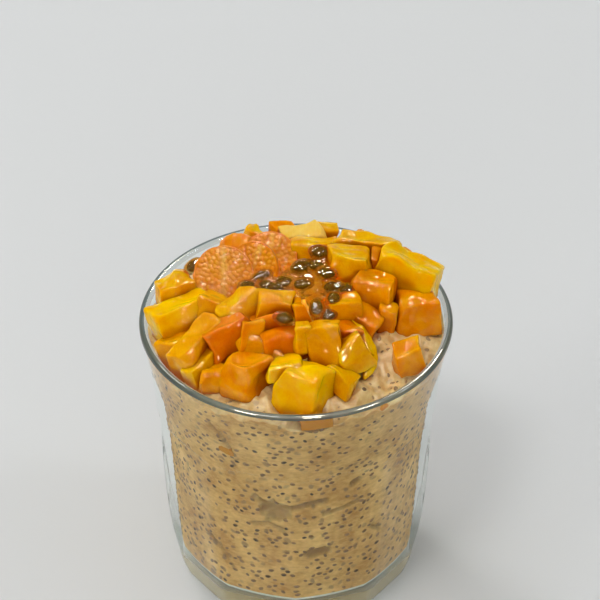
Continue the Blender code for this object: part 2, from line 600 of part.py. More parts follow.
def sow_chia(pudding, fruit, fusing, draw):
    """Fuse chia seeds to the bare top of the pudding, clear of everything on it."""
    trees = [BVHTree.FromPolygons([vert.co for vert in obj.data.vertices],
                                  [tuple(face.vertices) for face in obj.data.polygons]) for obj in fruit]
    edge = inner_radius(PUDDING_EDGE_LEVEL) - 3.0
    sown = []
    while len(sown) < CHIA_COUNT:
        x, y = draw.uniform(-edge, edge), draw.uniform(-edge, edge)
        spot = Vector((x, y, pudding_top(x, y)))
        if math.hypot(x, y) > edge or any((spot - other).length < CHIA_SPACING for other in sown):
            continue
        if any(tree.find_nearest(spot * MM, CHIA_CLEARANCE * MM)[0] for tree in trees):
            continue
        covered = any(tree.ray_cast(spot * MM, Vector((0, 0, 1)))[0] for tree in trees)
        if covered and len(sown) % 3:
            continue
        sown.append(spot)
        ellipsoid("chia", spot, CHIA_SEED, draw.uniform(0, 180), fusing, 5, 4)
    unite(pudding, fusing, "MANIFOLD")


def finish(obj, kind, smooth=35):
    """Give a part its material and its shading."""
    obj.data.materials.clear()
    obj.data.materials.append(material(kind))
    obj.data.shade_smooth()
    obj.data.set_sharp_from_angle(angle=math.radians(smooth))


def main():
    """Build every part, fitting the later ones round the earlier."""
    parts, cutters = clear_scene()
    fusing = bpy.data.collections.new("fusing")
    bpy.context.scene.collection.children.link(fusing)
    draw = random.Random(DRAW_SEED)

    glass = make_glass(parts, cutters)
    collar = wall_cutter(cutters)
    seeds = [ellipsoid(name, at, PASSION_SEED, bearing, parts) for name, at, bearing in LOOSE_SEEDS]
    halves = [make_physalis(half, parts) for half in PHYSALIS]
    diced = [make_dice(dice, parts, draw) for dice in DICE]
    pulp = make_pulp(parts, fusing)
    shapes = [(piece, piece.data) for piece in seeds + halves] + diced + [(pulp, pulp.data)]
    rooms = [fattened(piece.name + "_room", shape, cutters) for piece, shape in shapes]
    toppings = [piece for piece, _ in shapes]
    fruit = halves + [piece for piece, _ in diced]
    for index, piece in enumerate(toppings):
        near = [room for room in rooms[:index] if touching(piece, room)]
        low, high = bounds(piece)
        reach = max(math.hypot(x, y) for x in (low.x, high.x) for y in (low.y, high.y))
        if reach > WALL_REACH * MM:
            near.append(collar)
        combine(piece, near, "DIFFERENCE")
        tidy(piece)

    pudding = make_pudding(parts)
    dents = [room for room in rooms if touching(pudding, room)]
    combine(pudding, dents + make_air(cutters), "DIFFERENCE", "MANIFOLD")
    tidy(pudding, flat=0.05)
    sow_chia(pudding, toppings, fusing, draw)
    tidy(pudding, flat=0.05)

    for spent in list(cutters.objects):
        bpy.data.objects.remove(spent, do_unlink=True)
    finish(glass, "glass", 12)
    finish(pudding, "pudding")
    finish(pulp, "pulp", 60)
    for piece in seeds:
        finish(piece, "passion", 60)
    for piece in fruit:
        finish(piece, piece.name.split("_")[0])


main()
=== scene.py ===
"""Looks for the chia pudding in its faceted glass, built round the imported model.

Sizes are millimetres and angles are degrees unless a name says otherwise.  The origin is
the middle of the glass's underside, +Z is up and -Y is the side that the toppings face.
"""

from __future__ import annotations

import logging
import math
import random
from dataclasses import dataclass, field
from enum import Enum
from typing import Any, Callable, Sequence

import bmesh
import bpy
import numpy as np
from mathutils import Matrix, Vector, noise

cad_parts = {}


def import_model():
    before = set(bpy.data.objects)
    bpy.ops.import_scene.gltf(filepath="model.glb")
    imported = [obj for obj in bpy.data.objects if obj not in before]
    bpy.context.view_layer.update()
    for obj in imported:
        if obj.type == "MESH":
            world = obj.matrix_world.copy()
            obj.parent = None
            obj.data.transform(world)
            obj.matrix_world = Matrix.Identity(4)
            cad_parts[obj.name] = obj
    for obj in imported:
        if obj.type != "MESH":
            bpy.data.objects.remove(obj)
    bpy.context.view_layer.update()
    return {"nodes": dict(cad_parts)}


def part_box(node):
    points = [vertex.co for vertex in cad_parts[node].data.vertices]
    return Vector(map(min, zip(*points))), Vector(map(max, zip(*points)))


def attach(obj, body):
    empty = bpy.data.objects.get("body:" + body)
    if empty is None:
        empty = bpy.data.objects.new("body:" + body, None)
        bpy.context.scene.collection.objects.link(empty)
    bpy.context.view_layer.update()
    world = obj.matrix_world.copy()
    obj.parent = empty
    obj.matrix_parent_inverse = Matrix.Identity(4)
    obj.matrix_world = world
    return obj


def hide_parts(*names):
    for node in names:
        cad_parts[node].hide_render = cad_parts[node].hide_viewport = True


LOG = logging.getLogger("chia_pudding")
MM = 0.001
BODY = "root"
GLASS_INDEX = 1.52           # soda-lime glass
JUICE_INDEX = 1.36           # sugary fruit juice
EVERYWHERE = 1000.0          # a height that no part of the glass reaches

Place = tuple[float, float, float]
Profile = list[tuple[float, float]]
Layers = Sequence[tuple[float, float, float]]
Skin = tuple[np.ndarray, list[tuple[int, ...]]]
Mesh = bpy.types.Mesh
Piece = bpy.types.Object
Tree = bpy.types.NodeTree
Node = bpy.types.Node
Socket = bpy.types.NodeSocket


# ------------------------------------------------------------------ small tools
def linear(colour: str) -> tuple[float, float, float, float]:
    """Turn an sRGB hex colour into the linear colour that shaders take.

    Args:
        colour: A hash and six hex digits.

    Returns:
        Linear red, green and blue, and an alpha of one.
    """
    channels = [int(colour[i:i + 2], 16) / 255 for i in (1, 3, 5)]
    red, green, blue = (c / 12.92 if c <= 0.04045 else ((c + 0.055) / 1.055) ** 2.4 for c in channels)
    return red, green, blue, 1.0


def per_metre(size: float) -> float:
    """The texture scale that makes one feature of a pattern this many millimetres wide."""
    return 1.0 / (size * MM)


def add_node(tree: Tree, kind: str, settings: dict[Any, Any] | None = None,
             links: dict[Any, Node | Socket] | None = None) -> Node:
    """Add a shader node with its settings and its links.

    Args:
        tree: The node tree it goes into.
        kind: Blender's name for the kind of node, after ShaderNode.
        settings: Values by property name, input name or input number; a hex text is a colour.
        links: What feeds an input, by its name or number: a socket, or a node's first one in use.

    Returns:
        The new node.
    """
    node = tree.nodes.new("ShaderNode" + kind)
    for key, value in (settings or {}).items():
        if isinstance(value, str) and value.startswith("#"):
            value = linear(value)
        if isinstance(key, int) or key in node.inputs:
            node.inputs[key].default_value = value
        else:
            setattr(node, key, value)
    for key, source in (links or {}).items():
        if isinstance(source, Node):
            source = next(socket for socket in source.outputs if socket.enabled)
        tree.links.new(source, node.inputs[key])
    return node


def fair(points: Profile, heights: np.ndarray) -> np.ndarray:
    """Read a smooth curve through (height, radius) points.

    Args:
        points: The points, by rising height.
        heights: Where the curve is read.

    Returns:
        The radius at each height.
    """
    at, radii = np.array(points, float).T
    slopes = np.gradient(radii, at)
    heights = np.clip(heights, at[0], at[-1])
    i = np.clip(np.searchsorted(at, heights, side="right") - 1, 0, len(at) - 2)
    span = at[i + 1] - at[i]
    t = (heights - at[i]) / span
    return ((2 * t ** 3 - 3 * t ** 2 + 1) * radii[i] + (t ** 3 - 2 * t ** 2 + t) * span * slopes[i]
            + (3 * t ** 2 - 2 * t ** 3) * radii[i + 1] + (t ** 3 - t ** 2) * span * slopes[i + 1])


def lumps(points: np.ndarray, span: float, pattern: float = 0.0) -> np.ndarray:
    """Smooth noise between about -1 and 1 at each point.

    Args:
        points: Places in millimetres, one row each.
        span: The width of one lump.
        pattern: A number that picks another pattern of the same kind.

    Returns:
        One value a point.
    """
    offset = Vector((pattern, 2.7 * pattern, -1.9 * pattern))
    return np.array([noise.noise(Vector(p) / span + offset) for p in points.tolist()])


def layered(points: np.ndarray, layers: Layers) -> np.ndarray:
    """The sum of layers of lumps, each given by its height, its span and its pattern."""
    return sum(height * lumps(points, span, pattern) for height, span, pattern in layers)


def smooth_step(value: np.ndarray, low: float, high: float) -> np.ndarray:
    """Rise softly from 0 at low to 1 at high."""
    t = np.clip((value - low) / (high - low), 0.0, 1.0)
    return t * t * (3 - 2 * t)


def all_round(count: int) -> np.ndarray:
    """Bearings spread evenly all the way round, in radians."""
    return np.linspace(0.0, 2 * math.pi, count, endpoint=False)


def ring(turn: np.ndarray, radius: np.ndarray | float, height: np.ndarray | float) -> np.ndarray:
    """One ring of points at these bearings, in radians."""
    heights = np.broadcast_to(height, turn.shape)
    return np.stack([radius * np.cos(turn), radius * np.sin(turn), heights], axis=1)


def lathe(rows: Sequence[np.ndarray], start: float, end: float) -> Skin:
    """Join rings of points into one closed skin, with a middle point at each end.

    Args:
        rows: Rings of (x, y, z) points, all with the same count.
        start: Height of the middle point before the first ring.
        end: Height of the middle point after the last ring.

    Returns:
        The points and the faces.  Those round the two middle points come last, in turns.
    """
    columns = len(rows[0])
    points = np.concatenate([*rows, [[0.0, 0.0, start]], [[0.0, 0.0, end]]])
    first, last = len(points) - 2, len(points) - 1
    pairs = [(j, (j + 1) % columns) for j in range(columns)]
    faces: list[tuple[int, ...]] = []
    for low in range(0, (len(rows) - 1) * columns, columns):
        faces += [(low + j, low + k, low + columns + k, low + columns + j) for j, k in pairs]
    top = (len(rows) - 1) * columns
    for j, k in pairs:
        faces += [(first, k, j), (last, top + j, top + k)]
    return points, faces


def mesh_of(skin: Skin) -> Mesh:
    """Make a mesh in metres.

    Args:
        skin: Its points in millimetres and its faces.

    Returns:
        The mesh.
    """
    mesh = bpy.data.meshes.new("skin")
    mesh.from_pydata((skin[0] * MM).tolist(), [], skin[1])
    return mesh


def as_mesh(form: bmesh.types.BMesh) -> Mesh:
    """Turn an edited form into a mesh of its own.

    Args:
        form: The form, which is used up.

    Returns:
        The mesh.
    """
    mesh = bpy.data.meshes.new("form")
    form.to_mesh(mesh)
    form.free()
    return mesh


def put(name: str, data: bpy.types.ID) -> Piece:
    """Put something into the scene.

    Args:
        name: The name that it gets there.
        data: A mesh, a lamp or a camera.

    Returns:
        The object that carries it.
    """
    made = bpy.data.objects.new(name, data)
    bpy.context.scene.collection.objects.link(made)
    return made


def dressed(name: str, mesh: Mesh, finish: Finish, replaces: Sequence[str] = ()) -> Piece:
    """Make a piece of the object, smoothly shaded, from a mesh in metres.

    Args:
        name: The piece's name.
        mesh: Its mesh.
        finish: What it is made of.
        replaces: The CAD nodes that it stands for.

    Returns:
        The new piece, riding on the part's one body.
    """
    mesh.name = name
    mesh.materials.clear()
    mesh.materials.append(finish.material())
    mesh.shade_smooth()
    made = put(name, mesh)
    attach(made, BODY)
    if replaces:
        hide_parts(*replaces)
    LOG.info("%s: %d faces, %s", name, len(mesh.polygons), finish.name)
    return made


def finish_part(piece: Piece, finish: Finish, where: np.ndarray) -> None:
    """Give a second finish to the faces whose points all lie in one part.

    Args:
        piece: The piece, with its first finish.
        finish: The second one.
        where: Whether each point lies in that part.
    """
    piece.data.materials.append(finish.material())
    index = [int(all(where[point] for point in face.vertices)) for face in piece.data.polygons]
    piece.data.polygons.foreach_set("material_index", index)


def mark_points(mesh: Mesh, mark: str, values: np.ndarray) -> None:
    """Write a value for each point of a mesh, which its finish reads by the mark's name."""
    mesh.attributes.new(mark, "FLOAT", "POINT").data.foreach_set("value", values.astype(np.float32))


def read_vectors(mesh: Mesh, what: str) -> np.ndarray:
    """Read one vector a point from a mesh.

    Args:
        mesh: The mesh.
        what: Blender's name for what the vector says.

    Returns:
        The vectors, one row each.
    """
    flat = np.zeros(len(mesh.vertices) * 3, np.float32)
    mesh.vertices.foreach_get(what, flat)
    return flat.reshape(-1, 3).astype(float)


def read_points(mesh: Mesh) -> np.ndarray:
    """A mesh's points in millimetres."""
    return read_vectors(mesh, "co") / MM


def read_normals(mesh: Mesh) -> np.ndarray:
    """The directions that a mesh's points face."""
    return read_vectors(mesh, "normal")


def write_points(mesh: Mesh, points: np.ndarray) -> None:
    """Move a mesh's points to these places in millimetres."""
    mesh.vertices.foreach_set("co", (points * MM).astype(np.float32).ravel())
    mesh.update()


def eased(mesh: Mesh, points: np.ndarray, rounds: int) -> np.ndarray:
    """Ease points towards their neighbours, as often as asked.

    Args:
        mesh: The mesh whose edges say which points are neighbours, left as it is.
        points: A place in millimetres for each of its points.
        rounds: How many times.

    Returns:
        The eased places.
    """
    ends = np.zeros(len(mesh.edges) * 2, np.int64)
    mesh.edges.foreach_get("vertices", ends)
    far_ends = ends.reshape(-1, 2)[:, ::-1].ravel()
    count = np.bincount(ends, minlength=len(points))
    for _ in range(rounds):
        totals = [np.bincount(ends, points[far_ends, axis], len(points)) for axis in range(3)]
        points = 0.5 * (points + np.stack([total / count for total in totals], axis=1))
    return points


def remeshed(mesh: Mesh, voxel: float, rounds: int) -> tuple[np.ndarray, Mesh]:
    """Cover a mesh with an even skin of small faces and take the sharpness off it.

    Args:
        mesh: A closed mesh in metres, left as it is.
        voxel: The size of the new faces in millimetres.
        rounds: How many times the points are eased towards their neighbours.

    Returns:
        The new points in millimetres and the new mesh.
    """
    stand_in = put("remeshing", mesh)
    step = stand_in.modifiers.new("skin", "REMESH")
    step.mode = "VOXEL"
    step.voxel_size = voxel * MM
    graph = bpy.context.evaluated_depsgraph_get()
    skin = bpy.data.meshes.new_from_object(stand_in.evaluated_get(graph))
    bpy.data.objects.remove(stand_in, do_unlink=True)
    points = eased(skin, read_points(skin), rounds)
    write_points(skin, points)
    return points, skin


def lay_film(mesh: Mesh, points: np.ndarray, rounds: int) -> None:
    """Move a mesh to its places, and write which way the film of juice on it faces.

    Args:
        mesh: The mesh.
        points: Its places in millimetres.
        rounds: How often the film is eased, which rounds off the edges that it runs over.
    """
    write_points(mesh, eased(mesh, points, rounds))
    facing = read_normals(mesh).astype(np.float32)
    write_points(mesh, points)
    mesh.attributes.new("film", "FLOAT_VECTOR", "POINT").data.foreach_set("vector", facing.ravel())


def seed_shape(size: Place, sides: int, rings: int, point: float) -> Skin:
    """One seed: an ellipsoid that is drawn out a little at one end.

    Args:
        size: Length, width and thickness.
        sides: Points round it.
        rings: Rings along it.
        point: How much slimmer the drawn-out half is, as a share.

    Returns:
        The points and the faces.
    """
    turn = all_round(sides)
    rows = []
    for angle in (math.pi * i / rings for i in range(1, rings)):
        along = -math.cos(angle)
        rows.append(ring(turn, math.sin(angle) * (1.0 - point * max(0.0, along)), along))
    points, faces = lathe(rows, -1.0, 1.0)
    return points[:, [2, 0, 1]] * np.array(size) / 2, faces


def swarm(shape: Skin, places: Sequence[Matrix]) -> Skin:
    """Repeat a shape at many places as one skin.

    Args:
        shape: The shape's points and faces.
        places: Where each copy goes, in millimetres.

    Returns:
        All the points and all the faces.
    """
    points, faces = shape
    every, skins = [], []
    for number, place in enumerate(places):
        every.append(points @ np.array(place.to_3x3()).T + np.array(place.translation))
        start = number * len(points)
        skins += [tuple(start + corner for corner in face) for face in faces]
    return np.concatenate(every), skins


def frame_of(along: Vector, up: Vector, at: Vector) -> Matrix:
    """Turn and move a frame to a place.

    Args:
        along: Where its X points.
        up: Where its Z points, as near as it can.
        at: Where its origin goes.

    Returns:
        The frame.
    """
    x = along.normalized()
    y = up.cross(x).normalized()
    turn = Matrix((x, y, x.cross(y))).transposed().to_4x4()
    return Matrix.Translation(at) @ turn


# ------------------------------------------------------------------ finishes
@dataclass(frozen=True)
class Finish:
    """What a surface is made of.  Each kind of finish builds its own shader."""

    name: str

    def material(self) -> bpy.types.Material:
        """Make the finish's material, or find it when it is made already.

        Returns:
            The material.
        """
        found = bpy.data.materials.get(self.name)
        if found:
            return found
        made = bpy.data.materials.new(self.name)
        made.use_nodes = True
        tree = made.node_tree
        tree.nodes.clear()
        place = add_node(tree, "TexCoord").outputs["Object"]
        add_node(tree, "OutputMaterial", links={"Surface": self.shader(tree, place)})
        return made

    def shader(self, tree: Tree, place: Socket) -> Node:
        """Build the finish's nodes, on each point's place, and give back the last of them."""
        raise NotImplementedError


@dataclass(frozen=True)
class PressedGlass(Finish):
    """Soda-lime glass, pressed in a mould and fire-polished at the rim.

    It is clear.  Shadows and bounced light pass straight through, as they nearly do through a
    real thin wall.  The flats bend what is behind them so little that their index is set near
    to air's, and their polish is a coat with glass's own index, on the faces that are seen from
    outside.  On those faces the foot and the rim also have light and shade painted in, a matt
    colour mixed into the glass: a pale olive glow in the foot, a dark grey-green in the rim.
    """

    tint: str = "#F6FBF9"
    shade_tint: str = "#E6ECE9"
    index: float = GLASS_INDEX
    polish: bool = False
    painted_light_share: float = 0.0        # share of a matt colour mixed in at thick edges: painted light and shade in the glass
    painted_light_tint: str = "#BCA86C"
    painted_light_reach: float = 11.0  # the height over the table at which that painted light has faded out
    wave_span: float = 9.0       # span and depth of the waves that pressing leaves
    wave_depth: float = 0.15

    def shader(self, tree: Tree, place: Socket) -> Node:
        """Glass for what is seen, and a clear pane for what lights.

        Args:
            tree: The material's node tree.
            place: Each point's place.

        Returns:
            The node that the surface takes.
        """
        gloss = {"Coat IOR": GLASS_INDEX, "Coat Roughness": 0.01}
        flow = add_node(tree, "TexNoise", {"Scale": per_metre(self.wave_span), "Detail": 1.0},
                        {"Vector": place})
        wave = add_node(tree, "Bump", {"Strength": 0.25, "Distance": self.wave_depth * MM},
                        {"Height": flow})
        glass = add_node(tree, "BsdfPrincipled", {
            "Base Color": self.tint, "Roughness": 0.0, "IOR": self.index, "Transmission Weight": 1.0,
            **gloss},
            {"Normal": wave, "Coat Normal": wave})
        outward = add_node(tree, "Math", {"operation": "SUBTRACT", 0: 1.0},
                           {1: add_node(tree, "NewGeometry").outputs["Backfacing"]})
        if self.polish:
            tree.links.new(outward.outputs[0], glass.inputs["Coat Weight"])
        # Painted light and shade: a matt, coated colour is mixed into the glass on the outward faces,
        # fading out with height unless the reach is everywhere.
        if self.painted_light_share:
            painted_light_shader = add_node(tree, "BsdfPrincipled", {
                "Base Color": self.painted_light_tint, "Roughness": 0.5, "Coat Weight": 1.0, **gloss},
                {"Coat Normal": wave})
            level = add_node(tree, "SeparateXYZ", links={"Vector": place})
            share = add_node(tree, "MapRange", {
                "interpolation_type": "SMOOTHSTEP", "From Min": 0.6 * self.painted_light_reach * MM,
                "From Max": self.painted_light_reach * MM, "To Min": self.painted_light_share, "To Max": 0.0},
                {"Value": level.outputs["Z"]})
            share = add_node(tree, "Math", {"operation": "MULTIPLY"}, {0: share, 1: outward})
            glass = add_node(tree, "MixShader", links={0: share, 1: glass, 2: painted_light_shader})
        pane = add_node(tree, "BsdfTransparent", {"Color": self.shade_tint})
        path = add_node(tree, "LightPath").outputs
        lit = add_node(tree, "Math", {"operation": "MAXIMUM"},
                       {0: path["Is Shadow Ray"], 1: path["Is Diffuse Ray"]})
        return add_node(tree, "MixShader", links={0: lit, 1: glass, 2: pane})


@dataclass(frozen=True)
class ChiaCream(Finish):
    """Plant milk thickened by chia: an opaque cream whose gel catches a soft light.

    Soaked seeds just under the surface show as muted grey-brown spots.  Shade is painted
    into the air pockets at the wall, darker brown the deeper they go.
    """

    pale: str
    deep: str
    sunk_seed: str = "#7C6248"
    painted_pocket_shade: str = "#BC9060"       # painted shade in the air pockets at the wall, by how deep they go
    pocket_shade_share: float = 0.6           # how plainly that painted shade shows
    blotch: float = 11.0         # width of the paler and deeper patches
    seed_spacing: float = 3.1    # between the seeds that lie just under the surface
    spot_share: float = 0.30     # a sunk seed's half width, in spacings
    spot_strength: float = 0.5
    curd: float = 2.4            # width of the gel's curds, which lie flat
    flatness: float = 0.45
    curdled: float = 0.7         # how plainly they show
    contrast: float = 0.22       # the spread of the mottle that takes the cream from deep to pale
    grain: float = 0.5           # width and depth of the gel's grain
    grain_depth: float = 0.08
    gloss: float = 0.3
    roughness: float = 0.42
    scatter: float = 1.6         # how far light goes into the cream

    def shader(self, tree: Tree, place: Socket) -> Node:
        """Patches, sunk seeds and a fine grain.

        Args:
            tree: The material's node tree.
            place: Each point's place.

        Returns:
            The node that the surface takes.
        """
        patches = add_node(tree, "TexNoise", {
            "Scale": per_metre(self.blotch), "Detail": 4.0, "Roughness": 0.6}, {"Vector": place})
        flat = add_node(tree, "Mapping", {
            "Scale": (per_metre(self.curd), per_metre(self.curd), per_metre(self.curd * self.flatness))},
            {"Vector": place})
        curds = add_node(tree, "TexNoise", {"Scale": 1.0, "Detail": 4.0, "Roughness": 0.65},
                         {"Vector": flat})
        mottle = add_node(tree, "Math", {"operation": "MULTIPLY_ADD", 1: self.curdled},
                          {0: curds, 2: patches})
        middle = 0.51 + 0.5 * self.curdled
        paleness = add_node(tree, "MapRange", {
            "From Min": middle - self.contrast, "From Max": middle + self.contrast}, {"Value": mottle})
        cream = add_node(tree, "Mix", {"data_type": "RGBA", 6: self.deep, 7: self.pale}, {0: paleness})
        bent = add_node(tree, "TexNoise", {"Scale": per_metre(self.seed_spacing), "Detail": 1.0},
                        {"Vector": place})
        bend = add_node(tree, "VectorMath", {
            "operation": "MULTIPLY_ADD", 1: (self.seed_spacing * MM * 0.9,) * 3},
            {0: bent.outputs["Color"], 2: place})
        cells = add_node(tree, "TexVoronoi", {"Scale": per_metre(self.seed_spacing)}, {"Vector": bend})
        spot = add_node(tree, "MapRange", {
            "interpolation_type": "SMOOTHSTEP", "From Min": self.spot_share * 0.55,
            "From Max": self.spot_share * 1.25, "To Min": self.spot_strength, "To Max": 0.0},
            {"Value": cells})
        nearness = add_node(tree, "SeparateColor", links={"Color": cells.outputs["Color"]})
        spot = add_node(tree, "Math", {"operation": "MULTIPLY"}, {0: spot, 1: nearness})
        colour = add_node(tree, "Mix", {"data_type": "RGBA", 7: self.sunk_seed}, {0: spot, 6: cream})
        # Painted shade: the cream turns a darker brown in the hollows where air is trapped at the wall.
        hollow = add_node(tree, "Attribute", {"attribute_name": "hollow"}).outputs["Fac"]
        pocket_shade_amount = add_node(tree, "Math", {"operation": "MULTIPLY", 1: self.pocket_shade_share}, {0: hollow})
        colour = add_node(tree, "Mix", {"data_type": "RGBA", 7: self.painted_pocket_shade}, {0: pocket_shade_amount, 6: colour})
        grain = add_node(tree, "TexNoise", {
            "Scale": per_metre(self.grain), "Detail": 3.0, "Roughness": 0.55}, {"Vector": place})
        rough = add_node(tree, "Bump", {"Strength": 0.35, "Distance": self.grain_depth * MM},
                         {"Height": grain})
        return add_node(tree, "BsdfPrincipled", {
            "Roughness": self.roughness, "IOR": 1.4, "Specular IOR Level": self.gloss,
            "Subsurface Weight": 0.35, "Subsurface Radius": (1.0, 0.62, 0.32),
            "Subsurface Scale": self.scatter * MM, "Coat Weight": 0.25 * self.gloss,
            "Coat Roughness": 0.22}, {"Base Color": colour, "Normal": rough})


@dataclass(frozen=True)
class ChiaSeedCoat(Finish):
    """A soaked chia seed: a mottled grey-brown husk in a film of gel, smooth and a little shiny."""

    pale: str
    dark: str
    gloss: float
    gel: str = ""                # the cream's colour, where the gel round a seed hides its edge
    mottle: float = 0.45

    def shader(self, tree: Tree, place: Socket) -> Node:
        """Each seed's own tone, mottled.

        Args:
            tree: The material's node tree.
            place: Each point's place.

        Returns:
            The node that the surface takes.
        """
        tone = add_node(tree, "Attribute", {"attribute_name": "tone"}).outputs["Fac"]
        mottle = add_node(tree, "TexNoise", {"Scale": per_metre(self.mottle), "Detail": 2.0},
                          {"Vector": place})
        mixed = add_node(tree, "Math", {"operation": "MULTIPLY_ADD", 1: 0.35}, {0: mottle, 2: tone})
        darkness = add_node(tree, "MapRange", {"From Min": 0.17, "From Max": 1.17}, {"Value": mixed})
        colour = add_node(tree, "Mix", {"data_type": "RGBA", 6: self.pale, 7: self.dark}, {0: darkness})
        if self.gel:
            sunk = add_node(tree, "Attribute", {"attribute_name": "sunk"}).outputs["Fac"]
            colour = add_node(tree, "Mix", {"data_type": "RGBA", 7: self.gel}, {0: sunk, 6: colour})
        return add_node(tree, "BsdfPrincipled", {
            "Roughness": 0.38, "IOR": 1.42, "Specular IOR Level": self.gloss,
            "Coat Weight": 0.4 * self.gloss, "Coat Roughness": 0.12}, {"Base Color": colour})


@dataclass(frozen=True)
class CutFruit(Finish):
    """Ripe fruit flesh, cut with a knife and wet with its own juice.

    Light sinks millimetres into it and comes back deeper in colour, fine fibres run
    through it, and the film of juice gives small sharp highlights.  Between the dice, shade
    is painted in: the colour turns deep orange-brown where other dice are near.
    """

    bright: str
    deep: str
    patch: float = 6.0           # width of the riper patches
    fibre: float = 0.45          # thickness of a fibre bundle
    fibre_length: float = 5.0
    fibre_run: Place = (0.4, 0.3, 0.7)   # which way the fibres run, in radians
    scatter: float = 2.6
    painted_crevice_shade: str = "#A44400"     # painted shade, deep orange-brown between the dice
    crevice: float = 5.5         # and how far from the next dice that painted shade starts
    juice: float = 1.0           # how thick the film of juice is where it gathers
    damp: float = 0.45           # and its share elsewhere
    pool: float = 6.0            # span of the places where it gathers
    film_wave: float = 2.6       # span of the film's unevenness
    film_depth: float = 0.35     # and its depth, in spans

    def shader(self, tree: Tree, place: Socket) -> Node:
        """Ripe patches, fibres and the film of juice.

        Args:
            tree: The material's node tree.
            place: Each point's place.

        Returns:
            The node that the surface takes.
        """
        patches = add_node(tree, "TexNoise", {
            "Scale": per_metre(self.patch), "Detail": 3.0, "Roughness": 0.5}, {"Vector": place})
        stretch = add_node(tree, "Mapping", {
            "Rotation": self.fibre_run,
            "Scale": (per_metre(self.fibre), per_metre(self.fibre_length), per_metre(self.fibre))},
            {"Vector": place})
        fibres = add_node(tree, "TexNoise", {"Scale": 1.0, "Detail": 2.0}, {"Vector": stretch})
        blend = add_node(tree, "Math", {"operation": "MULTIPLY_ADD", 1: 0.3}, {0: fibres, 2: patches})
        share = add_node(tree, "MapRange", {"From Min": 0.43, "From Max": 0.87}, {"Value": blend})
        colour = add_node(tree, "Mix", {"data_type": "RGBA", 6: self.deep, 7: self.bright}, {0: share})
        # Painted shade: ambient occlusion turns the colour towards a deep orange-brown between the dice.
        open_ = add_node(tree, "AmbientOcclusion", {"Distance": self.crevice * MM, "samples": 8})
        crevice_shading = add_node(tree, "MapRange", {
            "From Min": 0.2, "From Max": 0.8, "To Min": 0.95, "To Max": 0.0},
            {"Value": open_.outputs["AO"]})
        colour = add_node(tree, "Mix", {"data_type": "RGBA", 7: self.painted_crevice_shade}, {0: crevice_shading, 6: colour})
        body = add_node(tree, "Bump", {"Strength": 0.1, "Distance": 0.1 * MM}, {"Height": fibres})
        pools = add_node(tree, "TexNoise", {"Scale": per_metre(self.pool), "Detail": 1.0},
                         {"Vector": place})
        wet = add_node(tree, "MapRange", {
            "interpolation_type": "SMOOTHSTEP", "From Min": 0.42, "From Max": 0.56,
            "To Min": self.damp * self.juice, "To Max": self.juice}, {"Value": pools})
        film = add_node(tree, "TexNoise", {"Scale": per_metre(self.film_wave), "Detail": 0.0},
                        {"Vector": place})
        laid = add_node(tree, "Attribute", {"attribute_name": "film"}).outputs["Vector"]
        facing = add_node(tree, "VectorTransform", {
            "vector_type": "NORMAL", "convert_from": "OBJECT", "convert_to": "WORLD"}, {"Vector": laid})
        wave = add_node(tree, "Bump", {
            "Strength": 1.0, "Distance": self.film_depth * self.film_wave * MM},
            {"Height": film, "Normal": facing})
        return add_node(tree, "BsdfPrincipled", {
            "Roughness": 0.4, "IOR": 1.38, "Specular IOR Level": 0.0, "Subsurface Weight": 0.7,
            "Subsurface Radius": (0.8, 0.7, 0.1), "Subsurface Scale": self.scatter * MM,
            "Coat Roughness": 0.02, "Coat IOR": JUICE_INDEX},
            {"Base Color": colour, "Normal": body, "Coat Weight": wet, "Coat Normal": wave})


@dataclass(frozen=True)
class BerryFlesh(Finish):
    """A physalis: taut, waxy orange skin, or the moist flesh that a cut lays open."""

    bright: str
    deep: str
    patch: float
    roughness: float
    coat: float
    seed: str = ""               # the seeds' colour, where the "seed" mark says
    core: str = ""               # and the core's
    marked: float = 0.6          # how plainly they show
    drop: float = 0.9            # span and depth of the unevenness of the moisture
    drop_depth: float = 0.3
    scatter: float = 1.8

    def shader(self, tree: Tree, place: Socket) -> Node:
        """Softly mottled flesh under a moist sheen.

        Args:
            tree: The material's node tree.
            place: Each point's place.

        Returns:
            The node that the surface takes.
        """
        patches = add_node(tree, "TexNoise", {"Scale": per_metre(self.patch), "Detail": 3.0},
                           {"Vector": place})
        share = add_node(tree, "MapRange", {"From Min": 0.35, "From Max": 0.65}, {"Value": patches})
        colour = add_node(tree, "Mix", {"data_type": "RGBA", 6: self.deep, 7: self.bright}, {0: share})
        for mark, tint in (("seed", self.seed), ("core", self.core)):
            if tint:
                where = add_node(tree, "Attribute", {"attribute_name": mark}).outputs["Fac"]
                some = add_node(tree, "Math", {"operation": "MULTIPLY", 1: self.marked}, {0: where})
                colour = add_node(tree, "Mix", {"data_type": "RGBA", 7: tint}, {0: some, 6: colour})
        relief = add_node(tree, "Bump", {"Strength": 0.3, "Distance": 0.08 * MM}, {"Height": patches})
        drops = add_node(tree, "TexNoise", {"Scale": per_metre(self.drop), "Detail": 1.0},
                         {"Vector": place})
        film = add_node(tree, "Bump", {"Strength": 1.0, "Distance": self.drop_depth * MM},
                        {"Height": drops, "Normal": relief})
        return add_node(tree, "BsdfPrincipled", {
            "Roughness": self.roughness, "IOR": 1.4, "Specular IOR Level": 0.05, "Subsurface Weight": 0.6,
            "Subsurface Radius": (1.0, 0.4, 0.15), "Subsurface Scale": self.scatter * MM,
            "Coat Weight": self.coat, "Coat Roughness": 0.03, "Coat IOR": 1.4},
            {"Base Color": colour, "Normal": relief, "Coat Normal": film})


